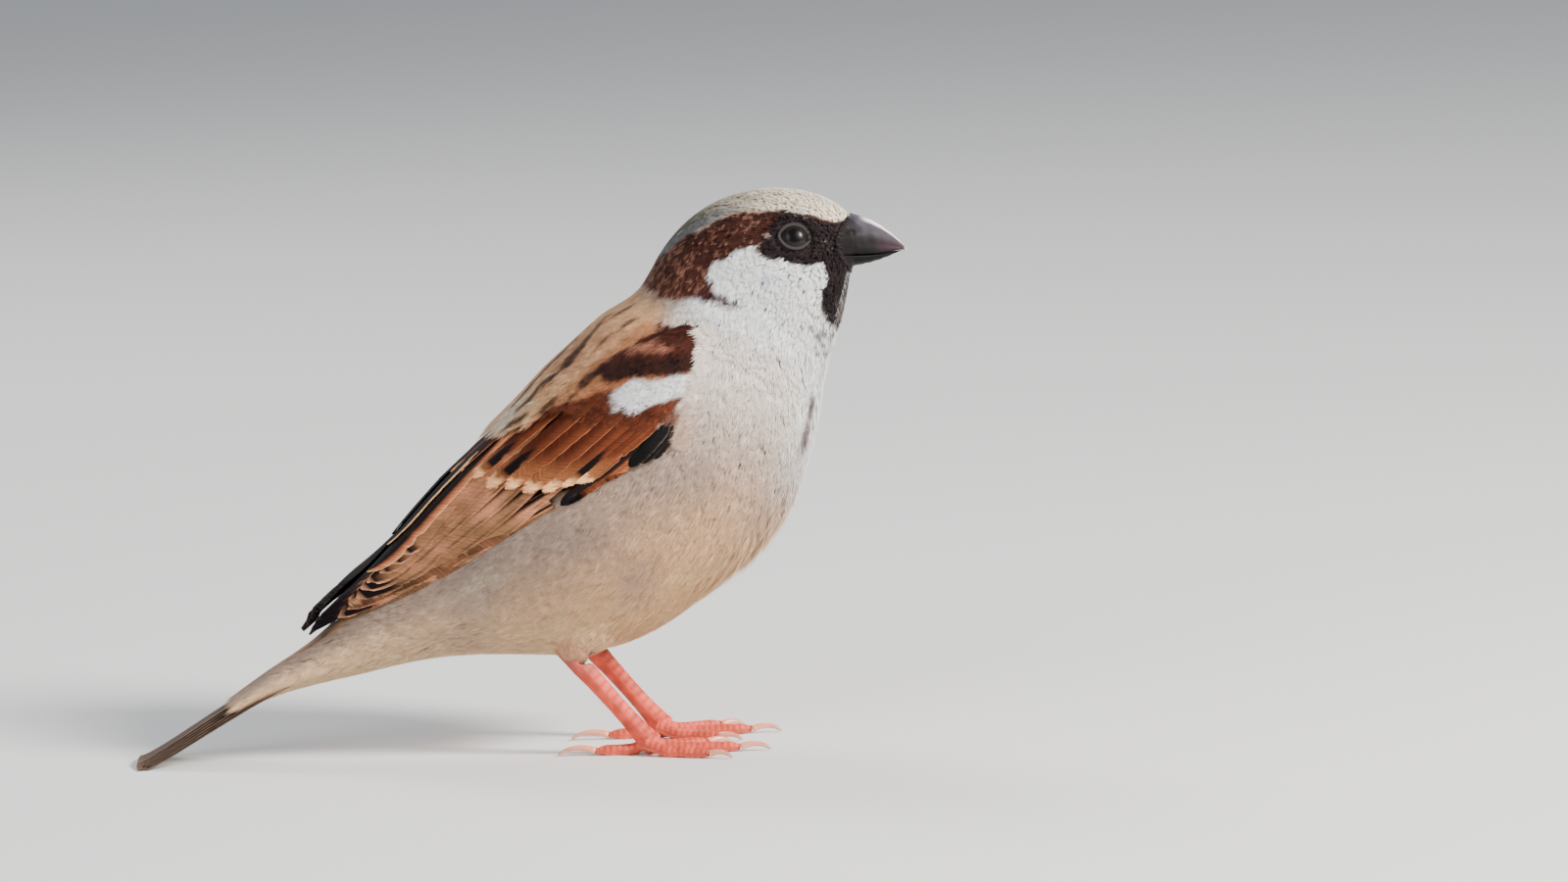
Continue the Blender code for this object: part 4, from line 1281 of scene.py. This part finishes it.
def thigh_colour(points):
    high = smooth(14.6, 17.8, points[..., 2] + drift(points, 0.8, 31) * 0.8)
    colour = mix(shade(160, 122, 106), shade(204, 174, 148), high)
    dark = smooth(-0.2, 0.4, drift(points, 0.6, 32)) * (1 - high)
    return mix(colour, shade(76, 52, 50), dark * 0.9)


THIGH_ROWS = 40
THIGH_COLUMNS = 49


def add_thighs(pile):
    """The feathered thighs' skin, which runs into the belly."""
    stations = np.linspace(0.02, 0.995, THIGH_ROWS)
    s, a = np.meshgrid(stations, np.linspace(-math.pi, math.pi, THIGH_COLUMNS), indexing="ij")
    k = np.arange(THIGH_COLUMNS - 1)
    size = s.size
    last = size - THIGH_COLUMNS
    top = np.stack([k, k + 1, np.full_like(k, size)], -1)
    low = np.stack([k + last + 1, k + last, np.full_like(k, size + 1)], -1)
    maps = np.stack([0.60 + s * 0.03, 0.30 + (a + math.pi) * 0.01], -1)
    maps = np.concatenate([maps.reshape(-1, 2), maps[0, :1], maps[-1, :1]])
    for side, _ in SIDES:
        egg = thigh_cone(side, -0.7)
        points, _, _, _ = egg.read(s, a)
        hubs = np.stack([points[0].mean(0), points[-1].mean(0)])
        points = np.concatenate([points.reshape(-1, 3), hubs])
        blocks = [grid_faces(THIGH_ROWS, THIGH_COLUMNS), top, low]
        blocks = turned_out(blocks, points, 500, points[blocks[0][500, 0]] - egg.centre)
        # the skin is painted darker than the tufts over it: painted shade under the tufts
        pile.add(points, blocks, thigh_colour(points) * 0.85, maps)


def make_thigh_coat():
    """Tufts that run down the thighs and end in a loose dark cuff round the top of each leg."""
    pile = Pile()
    for side, _ in SIDES:
        egg = thigh_cone(side)
        count = 900
        s = np.sqrt(rng.uniform(0.12, 0.86, count))
        a = rng.uniform(-math.pi, math.pi, count)
        s, a = tail_first(s, a)
        points, _, _, _ = egg.read(s, a)
        colour = thigh_colour(points)[:, None] * np.ones((1, 7, 1))
        length = np.interp(s, (0.3, 0.8, 0.95), (3.6, 2.4, 1.6))
        tufts(pile, s, a, length, length * 0.42, 7, 0.7, 0.1, colours=(colour, colour * 1.06), ground=egg)
    pile.build("coat_thighs", FLUFF, "body_feathers")


# ---------------------------------------------------------------- legs and claws


def cad_points(name):
    """A CAD node's vertices in mm, and its faces."""
    work = bmesh.new()
    work.from_mesh(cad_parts[name].data)
    bmesh.ops.remove_doubles(work, verts=work.verts, dist=1e-6)
    work.verts.index_update()
    points = np.array([tuple(v.co) for v in work.verts]) / MM
    faces = [[v.index for v in face.verts] for face in work.faces]
    work.free()
    return points, faces


def main_axis(points):
    """The middle and the long direction of a cloud of points."""
    centre = points.mean(0)
    _, _, rows = np.linalg.svd(points - centre, full_matrices=False)
    return centre, rows[0]


def applied(piece):
    """The piece's mesh with its modifiers applied, as a new mesh."""
    graph = bpy.context.evaluated_depsgraph_get()
    mesh = bpy.data.meshes.new_from_object(piece.evaluated_get(graph))
    piece.modifiers.clear()
    old = piece.data
    piece.data = mesh
    bpy.data.meshes.remove(old)
    return mesh


def vertex_rows(mesh, label):
    rows = np.zeros(len(mesh.vertices) * 3)
    mesh.vertices.foreach_get(label, rows)
    return rows.reshape(-1, 3)


def dress(piece, material, slot, nodes, tint_of):
    """Gives a mesh its colours and a finish, parents it to the body's root and hides the solids it
    replaces.
    """
    mesh = piece.data
    points = vertex_rows(mesh, "co") / MM
    point_colours(mesh, np.clip(tint_of(points), 0.003, 0.95))
    mesh.polygons.foreach_set("use_smooth", np.ones(len(mesh.polygons), bool))
    mesh.materials.clear()
    finish_piece(piece, material, nodes)


TOE_NAMES = ("middle", "inner", "outer", "hind")
SWELL = 0.2  # mm that the leg's solids grow before they are joined, most of it taken off again
VOXEL = 0.00016
SHANK_SCALE = 1.45  # mm from one cross scale to the next
TOE_SCALE = 0.98
HOCK_PLUG = {"radius1": 0.0016, "radius2": 0.0014, "depth": 0.004}  # metres, hidden in the thigh


def joined_leg(side, names):
    """The leg's swollen solids as one object, and each bone's two ends, the one near the ball first."""
    work = bmesh.new()
    bones = []
    for name in names:
        points, faces = cad_points(name)
        centre, axis = main_axis(points)
        run = (points - centre) @ axis
        ends = [centre + axis * run.min(), centre + axis * run.max()]
        ends.sort(key=lambda end: np.linalg.norm(end - np.array(FOOT_BALLS[side])))
        bones.append(ends)
        verts = [work.verts.new(point * MM) for point in points]
        for face in faces:
            work.faces.new([verts[k] for k in face])
    work.normal_update()
    for vert in work.verts:
        vert.co += vert.normal * SWELL * MM
    hock, ball = Vector(HOCKS[side]) * MM, Vector(FOOT_BALLS[side]) * MM
    up = (hock - ball).normalized()
    spot = Matrix.Translation(hock + up * 0.0008) @ up.to_track_quat("Z", "Y").to_matrix().to_4x4()
    bmesh.ops.create_cone(work, cap_ends=True, segments=24, matrix=spot, **HOCK_PLUG)
    mesh = bpy.data.meshes.new(f"foot_{side}")
    work.to_mesh(mesh)
    work.free()
    return add_object(f"foot_{side}", mesh), bones


def make_foot(side):
    """One continuous scaly skin from the hock to the toes' ends, grown over the leg's solids."""
    names = [f"tarsus_{side}"] + [f"toe_{toe}_{side}" for toe in TOE_NAMES]
    piece, bones = joined_leg(side, names)
    remesh = piece.modifiers.new("grow", "REMESH")
    remesh.mode = "VOXEL"
    remesh.voxel_size = VOXEL
    soften = piece.modifiers.new("soften", "SMOOTH")
    soften.factor = 0.5
    soften.iterations = 7
    mesh = applied(piece)
    points, normals = vertex_rows(mesh, "co") / MM, vertex_rows(mesh, "normal")

    # the nearest bone of each point, how far along it the point lies, and how far is left
    count = len(points)
    nearest = np.full(count, 1e9)
    place, rest = np.zeros(count), np.zeros(count)
    bone_of = np.zeros(count, int)
    for k, (start, end) in enumerate(bones):
        run = end - start
        length = np.linalg.norm(run)
        t = np.clip((points - start) @ run / length**2, 0, 1)
        gap = np.linalg.norm(points - start - t[:, None] * run, axis=1) - (0.35 if k == 0 else 0.0)
        closer = gap < nearest
        nearest = np.where(closer, gap, nearest)
        place = np.where(closer, t * length, place)
        rest = np.where(closer, (1 - t) * length, rest)
        bone_of = np.where(closer, k, bone_of)
    shank = bone_of == 0
    front = np.where(shank, normals[:, 0] + 0.3 * normals[:, 2], normals[:, 2])
    phase = place / np.where(shank, SHANK_SCALE, TOE_SCALE) + bone_of * 0.37
    groove = np.exp(-(((phase % 1) - 0.5) / 0.1) ** 2)
    crown = np.cos((phase % 1) * 2 * math.pi) * 0.5 + 0.5
    upper = smooth(-0.15, 0.35, front)
    pads = smooth(0.1, 0.6, -normals[:, 2]) * ~shank
    shape = -0.05 * groove * upper + 0.02 * crown * upper + 0.04 * np.sin(phase * 2 * math.pi) * pads
    shape += drift(points, 0.45, 41) * 0.02
    shape -= 0.34 * smooth(2.0, 0.2, rest) * ~shank
    shape += np.where(shank, 0.22, 0.03)
    points = points + normals * (shape - SWELL * 0.75)[:, None]
    points[:, 2] = np.maximum(points[:, 2], 0.0)
    mesh.vertices.foreach_set("co", (points * MM).ravel())
    mesh.update()

    def tint(p):
        base = mix(shade(202, 98, 74), shade(184, 76, 56), smooth(-0.6, 0.6, drift(p, 1.6, 42)))
        # the grooves between the scales are painted darker and redder: partly the scales' own redder
        # joints, partly painted shade in the grooves
        base = mix(base, shade(150, 58, 46), groove * upper * 0.5)
        # painted highlight on the crown of each scale, on the upper side only
        base = mix(base, shade(220, 150, 124), crown**3 * upper * 0.2)
        base = mix(base, shade(208, 140, 112), pads * 0.5)
        return mix(base, shade(160, 96, 84), smooth(12.0, 15.5, p[:, 2]) * 0.6)

    dress(piece, LEG_SKIN, "leg_skin", names, tint)
    turn = np.arctan2(normals[:, 1], normals[:, 0]) / (2 * math.pi) + 0.5
    u = (bone_of + 0.05 + 0.9 * np.clip(place / 22, 0, 1)) / len(bones)
    corner_map(mesh, "OFBake", np.stack([u, turn], -1))


def make_claws(side):
    """The four claws: the solids made round, and drawn out a little from their tips."""
    ball = np.array(FOOT_BALLS[side])
    for toe in TOE_NAMES:
        points, faces = cad_points(f"claw_{toe}_{side}")
        away = np.linalg.norm(points[:, :2] - ball[:2], axis=1)
        tip = points[np.argmax(away)]
        points = tip + (points - tip) * np.array([1.1, 1.1, 1.03])
        points[:, 2] = np.maximum(points[:, 2], 0.0)
        mesh = bpy.data.meshes.new(f"nail_{toe}_{side}")
        mesh.from_pydata([tuple(p * MM) for p in points], [], faces)
        piece = add_object(f"nail_{toe}_{side}", mesh)
        smoothing = piece.modifiers.new("round", "SUBSURF")
        smoothing.levels = smoothing.render_levels = 2
        applied(piece)

        def tint(p):
            t = (np.linalg.norm(p[:, :2] - ball[:2], axis=1) - away.min()) / (away.max() - away.min())
            under = smooth(0.2, -0.5, p[:, 2] - tip[2] - 0.6)
            colour = mix(shade(206, 160, 134), shade(150, 116, 98), smooth(0.45, 1.0, t))
            return mix(colour, shade(226, 196, 174), under * 0.4)

        dress(piece, CLAW_HORN, "claw_horn", [f"claw_{toe}_{side}"], tint)


# ---------------------------------------------------------------- bill

BILL_ROOT_X = 54.3
BILL_HALF_WIDTH = 3.75
BILL_MIDDLE_Z = 79.6
# Height of each half's ridge and cutting edge at the root, the ridge's bulge, the edge's sag, the tip's
# height, and how far the tip stops short
BILL_HALVES = {
    "bill_upper": (84.25, 78.1, 0.9, -0.25, 78.4, 0.0),
    "bill_lower": (75.9, 77.8, -0.35, -0.25, 78.1, 0.9),
}
GAPE_DEGREES = 102  # where the two halves meet on the face, measured round the head from its top


def nostril(p, long, high):
    """How far into a nostril each point lies, from 0 to 1."""
    return np.exp(-(((p[..., 0] - 53.9) / long) ** 2 + ((p[..., 2] - 81.5) / high) ** 2))


def bill_points(name, share, turn):
    """Half a bill: share runs from behind its root, below 0, to its tip at 1, and turn across it."""
    ridge_z, edge_z, bulge, sag, tip_z, short = BILL_HALVES[name]
    upper = name == "bill_upper"
    tip_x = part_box("bill_upper")[1].x / MM
    held = np.clip(share, 0, 1)
    swell = np.sin(math.pi * held)
    edge = edge_z + (tip_z - edge_z) * held + sag * swell
    rise = ridge_z + (tip_z - ridge_z) * held + bulge * swell - edge
    if upper:
        edge = edge - 0.22 * smooth(0.82, 1.0, held)
    height = np.sin(turn)
    x = BILL_ROOT_X + (tip_x - short - BILL_ROOT_X) * held
    y = BILL_HALF_WIDTH * np.maximum((1 - held) ** 0.85, 0.045) * np.cos(turn)
    points = np.stack([x, y, edge + rise * height**0.9], -1)
    rings = 0.03 * np.sin(share * 34 + height * 2.5) * height
    rings = rings * smooth(0, 0.15, held) * smooth(1, 0.8, held)
    lip = 0.10 * np.exp(-((height - 0.1) / 0.09) ** 2) * smooth(0.0, 0.1, held) * smooth(1, 0.85, held)
    points[..., 1] += np.sign(y) * (lip + rings * np.abs(np.cos(turn)))
    points[..., 2] += rings * height * (1 if upper else -1)

    # behind the root each half follows the face and runs in under its feathers
    round_head = (math.pi / 2 - turn) / (math.pi / 2)
    gape = math.radians(GAPE_DEGREES)
    around = round_head * gape
    if not upper:
        around = np.sign(round_head) * (math.pi - np.abs(round_head) * (math.pi - gape))
    reach = np.clip(-share, 0, None)
    line = bill_line(np.degrees(np.abs(around)))
    rim, rim_normals, _, _ = plumage.read(np.maximum(line + 0.04 - 0.12 * (reach - 1), 0), around)
    rim = rim - rim_normals * (0.16 + 0.9 * np.clip(reach - 1, 0, None))[..., None]
    reach = np.clip(reach, 0, 1)
    points = mix(points, rim, smooth(0, 1, reach) * 0.4 + reach * 0.6)
    if upper:
        points[..., 1] -= np.sign(y) * 0.35 * nostril(points, 0.7, 0.35)
    return points


def bill_tints(upper, p, t, h, root):
    """Linear colours: t runs from root to tip, h up from the cutting edge, root back under the face."""
    streak = drift(p * np.array([0.35, 1.6, 1.6]), 0.8, 51)
    if upper:
        colour = mix(shade(24, 22, 23), shade(86, 82, 92), smooth(0.3, 0.98, h + streak * 0.08))
        glint = smooth(0.86, 0.99, h) * smooth(0.08, 0.35, t) * smooth(1.0, 0.85, t)
        colour = mix(colour, shade(220, 206, 206), glint)
        colour = mix(colour, shade(72, 48, 60), smooth(0.25, 0.7, t) * smooth(0.9, 0.4, h) * 0.5)
        colour = mix(colour, shade(206, 186, 150), smooth(0.92, 0.99, t))
        # the nostril is painted dark: painted shade in its hollow
        colour = mix(colour, shade(18, 16, 18), nostril(p, 0.55, 0.25) * 0.8)
    else:
        colour = mix(shade(25, 24, 23), shade(15, 14, 12), smooth(0.1, 0.8, h + streak * 0.1))
        colour = mix(colour, shade(110, 98, 90), smooth(0.93, 1.0, t) * 0.6)
    colour = mix(colour, shade(36, 30, 30), smooth(0.45, 1.0, root) * smooth(1.0, 0.8, h))
    collar = smooth(0.16, 0.0, t + 0.05 * streak) * smooth(0.98, 0.8, h)
    colour = mix(colour, shade(24, 20, 20), collar * 0.8)
    colour = mix(colour, shade(30, 27, 28), smooth(0.09, 0.0, h) * 0.8)
    return np.clip(colour * (1 + 0.10 * streak)[..., None], 0.003, 0.9)


def make_bill_half(name):
    upper = name == "bill_upper"
    shares = np.concatenate([np.linspace(-1.2, 0, 22)[:-1], np.linspace(0, 1, 72)])
    share, turn = np.meshgrid(shares, np.linspace(0, math.pi, 49), indexing="ij")
    points = bill_points(name, share, turn)
    colour = bill_tints(upper, points, np.clip(share, 0, 1), np.sin(turn), np.clip(-share, 0, 1))
    rows, columns = share.shape
    outward = np.array([0, 0, 1 if upper else -1])
    ridge_face = 30 * (columns - 1) + columns // 2
    blocks = turned_out(strip_faces(rows, columns), points.reshape(-1, 3), ridge_face, outward)
    maps = np.stack([0.02 + 0.96 * (share + 1.2) / 2.2, 0.02 + 0.96 * turn / math.pi], -1)
    pile = Pile()
    pile.add(points, blocks, colour, maps)
    pile.build(f"{name}_horn", BILL_HORN, "bill_horn", [name], flat=False)


# ---------------------------------------------------------------- eyes


def make_eye(side):
    """A whole eyeball with a bulging cornea, and the pupil, iris and dark rim in its colours."""
    centre, axis, forward, upward = eye_frame(side)
    polar = np.concatenate([np.linspace(0, 0.9, 40), np.linspace(0.9, math.pi, 26)[1:]])
    p, t = np.meshgrid(polar[1:-1], np.linspace(0, 2 * math.pi, 65), indexing="ij")
    cornea = 0.10 * smooth(0.62, 0.3, p)
    way = (axis * np.cos(p)[..., None] + forward * (np.sin(p) * np.cos(t))[..., None]
           + upward * (np.sin(p) * np.sin(t))[..., None])
    points = (centre + way * (EYEBALL_RADIUS + cornea)[..., None]).reshape(-1, 3)
    ends = np.stack([centre + axis * (EYEBALL_RADIUS + 0.1), centre - axis * EYEBALL_RADIUS])
    rows, columns = p.shape
    k = np.arange(columns - 1)
    last = p.size - columns
    front = np.stack([k + 1, k, np.full_like(k, p.size)], -1)
    back = np.stack([last + k, last + k + 1, np.full_like(k, p.size + 1)], -1)
    blocks = [grid_faces(rows, columns), front, back]
    blocks = turned_out(blocks, points, 600, points[blocks[0][600, 0]] - centre)
    fibres = 0.5 + 0.5 * np.sin(t * 37 + 3 * np.sin(t * 5))
    iris = mix(shade(22, 17, 16), shade(36, 28, 25), fibres)
    colour = mix(shade(5, 4, 5), iris, smooth(0.34, 0.37, p))
    colour = mix(colour, shade(16, 13, 13), smooth(0.58, 0.68, p))
    tints = np.concatenate([colour.reshape(-1, 3), shade(6, 5, 6)[None], shade(20, 16, 16)[None]])
    maps = np.stack([0.5 + 0.15 * p * np.cos(t), 0.5 + 0.15 * p * np.sin(t)], -1).reshape(-1, 2)
    maps = np.concatenate([maps, [[0.5, 0.5], [0.98, 0.98]]])
    pile = Pile()
    pile.add(np.concatenate([points, ends]), blocks, tints, maps)
    pile.build(f"eyeball_{side}", WET_EYE, "eye", [f"eye_{side}"], flat=False)


# ---------------------------------------------------------------- bristles round the bill


def make_bristles():
    """Short feathers that lean forward over the bill's root, from the forehead round to the chin."""
    pile = Pile()
    count = 520
    a = rng.uniform(-math.pi, math.pi, count)
    d = degrees_off_back(a)
    points, normals, _, _ = plumage.read(bill_line(d) + rng.uniform(-0.02, 0.1, count), a)
    forward = np.array([1.0, 0, 0.0])
    for angle, off_top, point, normal in zip(a, d, points, normals):
        inward = unit(np.array([0.0, 0.0, BILL_MIDDLE_Z]) - np.array([0, point[1], point[2]]))
        length = rng.uniform(0.6, 1.3) * (1.0 if off_top < 125 else 0.7)
        root = point - normal * 0.05
        slope = unit(forward - normal * (forward @ normal))
        lean = unit(slope + normal * rng.uniform(0.1, 0.3) + inward * 0.05 + rng.normal(0, 0.12, 3))
        tip = root + lean * length
        side = unit(np.cross(lean, normal)) * rng.uniform(0.06, 0.11)
        middle = (root + tip) / 2 + normal * 0.1
        blade = np.array([root, middle - side, middle + side, middle + normal * 0.05, tip])
        # pale forehead bristles take the crown front's painted sunlit colour
        pale = off_top < 18 and rng.random() < 0.7
        base = (SUNLIT_CROWN_FRONT if pale else MASK_BLACK * 1.3) * (1 + 0.15 * rng.standard_normal())
        maps = unwrap(0.06, angle) + np.array([[0, 0], [-1, 1], [1, 1], [0, 1], [0, 2]]) * 0.0007
        tints = np.tile(np.clip(base, 0.003, 0.9), (5, 1))
        faces = turned_out([BARB_FACES], blade, 0, normal)
        pile.add(blade, faces, tints, maps, lie=np.tile(normal, (5, 1)))
    pile.build("bristles", FLUFF, "head_feathers")


# ---------------------------------------------------------------- floor, light and camera


# Each light: where it stands and its diameter in metres, watts and colour
LIGHTS = {
    "key": ((0.84, -0.46, 0.62), 0.3, 34.0, (1.0, 0.96, 0.9)),
    "fill": ((-0.45, -0.85, 0.50), 0.7, 5.0, (0.95, 0.97, 1.0)),
    "rim": ((-0.35, 0.7, 0.8), 0.5, 6.0, (1.0, 0.98, 0.95)),
}
LIGHT_AIM = Vector((0.01, 0.0, 0.05))
SKY_COLOUR = (0.86, 0.92, 1.0, 1)
SKY_STRENGTH = 0.42
FLOOR_HALF = 6.0
FLOOR_GREYS = (0.70, 0.74)


def make_floor():
    mesh = bpy.data.meshes.new("floor")
    corners = ((-1, -1), (1, -1), (1, 1), (-1, 1))
    mesh.from_pydata([(x * FLOOR_HALF, y * FLOOR_HALF, 0) for x, y in corners], [], [(0, 1, 2, 3)])
    material = bpy.data.materials.new("pale_floor")
    material.use_nodes = True
    tree = material.node_tree
    shader = tree.nodes["Principled BSDF"]
    shader.inputs["Roughness"].default_value = 0.85
    mottle = add_node(tree, "TexNoise", (("Scale", 3.0),))
    grey = add_node(tree, "MapRange", (("To Min", FLOOR_GREYS[0]), ("To Max", FLOOR_GREYS[1])))
    tree.links.new(mottle.outputs["Fac"], grey.inputs["Value"])
    tree.links.new(grey.outputs["Result"], shader.inputs["Base Color"])
    mesh.materials.append(material)
    floor = add_object("floor", mesh)


def make_lights():
    """A pale sky and three soft round lights."""
    world = bpy.data.worlds.new("studio")
    world.use_nodes = True
    backdrop = world.node_tree.nodes["Background"]
    backdrop.inputs["Color"].default_value = SKY_COLOUR
    backdrop.inputs["Strength"].default_value = SKY_STRENGTH
    bpy.context.scene.world = world
    for name, (place, size, watts, colour) in LIGHTS.items():
        light = bpy.data.lights.new(name, "AREA")
        light.shape = "DISK"
        light.size = size
        light.energy = watts
        light.color = colour
        lamp = add_object(name, light)
        lamp.location = place
        lamp.rotation_euler = (LIGHT_AIM - Vector(place)).to_track_quat("-Z", "Y").to_euler()


CAMERA_ELEVATION = math.radians(7.0)
CAMERA_ROLL = math.radians(2.1)
CAMERA_TARGET = Vector((42.22, 0.0, 48.25)) * MM
CAMERA_LENS = 200.0
SENSOR_WIDTH = 36.0
FRAME_WIDTH = 249.6 * MM  # what the picture's width takes in at the bird


def make_camera():
    data = bpy.data.cameras.new("camera")
    data.sensor_width = SENSOR_WIDTH
    data.lens = CAMERA_LENS
    data.clip_start = 0.05
    distance = FRAME_WIDTH * CAMERA_LENS / SENSOR_WIDTH
    sin_e, cos_e = math.sin(CAMERA_ELEVATION), math.cos(CAMERA_ELEVATION)
    sin_r, cos_r = math.sin(CAMERA_ROLL), math.cos(CAMERA_ROLL)
    look = Vector((0, cos_e, -sin_e))
    right = Vector((cos_r, -sin_r * sin_e, -sin_r * cos_e))
    up = Vector((sin_r, cos_r * sin_e, cos_r * cos_e))
    camera = add_object("camera", data)
    turn = Matrix((right, up, -look)).transposed().to_4x4()
    camera.matrix_world = Matrix.Translation(CAMERA_TARGET - look * distance) @ turn
    bpy.context.scene.camera = camera


make_floor()
make_lights()
make_camera()
make_skin()
make_coat()
make_thigh_coat()
make_mantle()
make_wings()
make_tail()
for side, _ in SIDES:
    make_foot(side)
    make_claws(side)
for half in BILL_HALVES:
    make_bill_half(half)
for side, _ in SIDES:
    make_eye(side)
make_bristles()
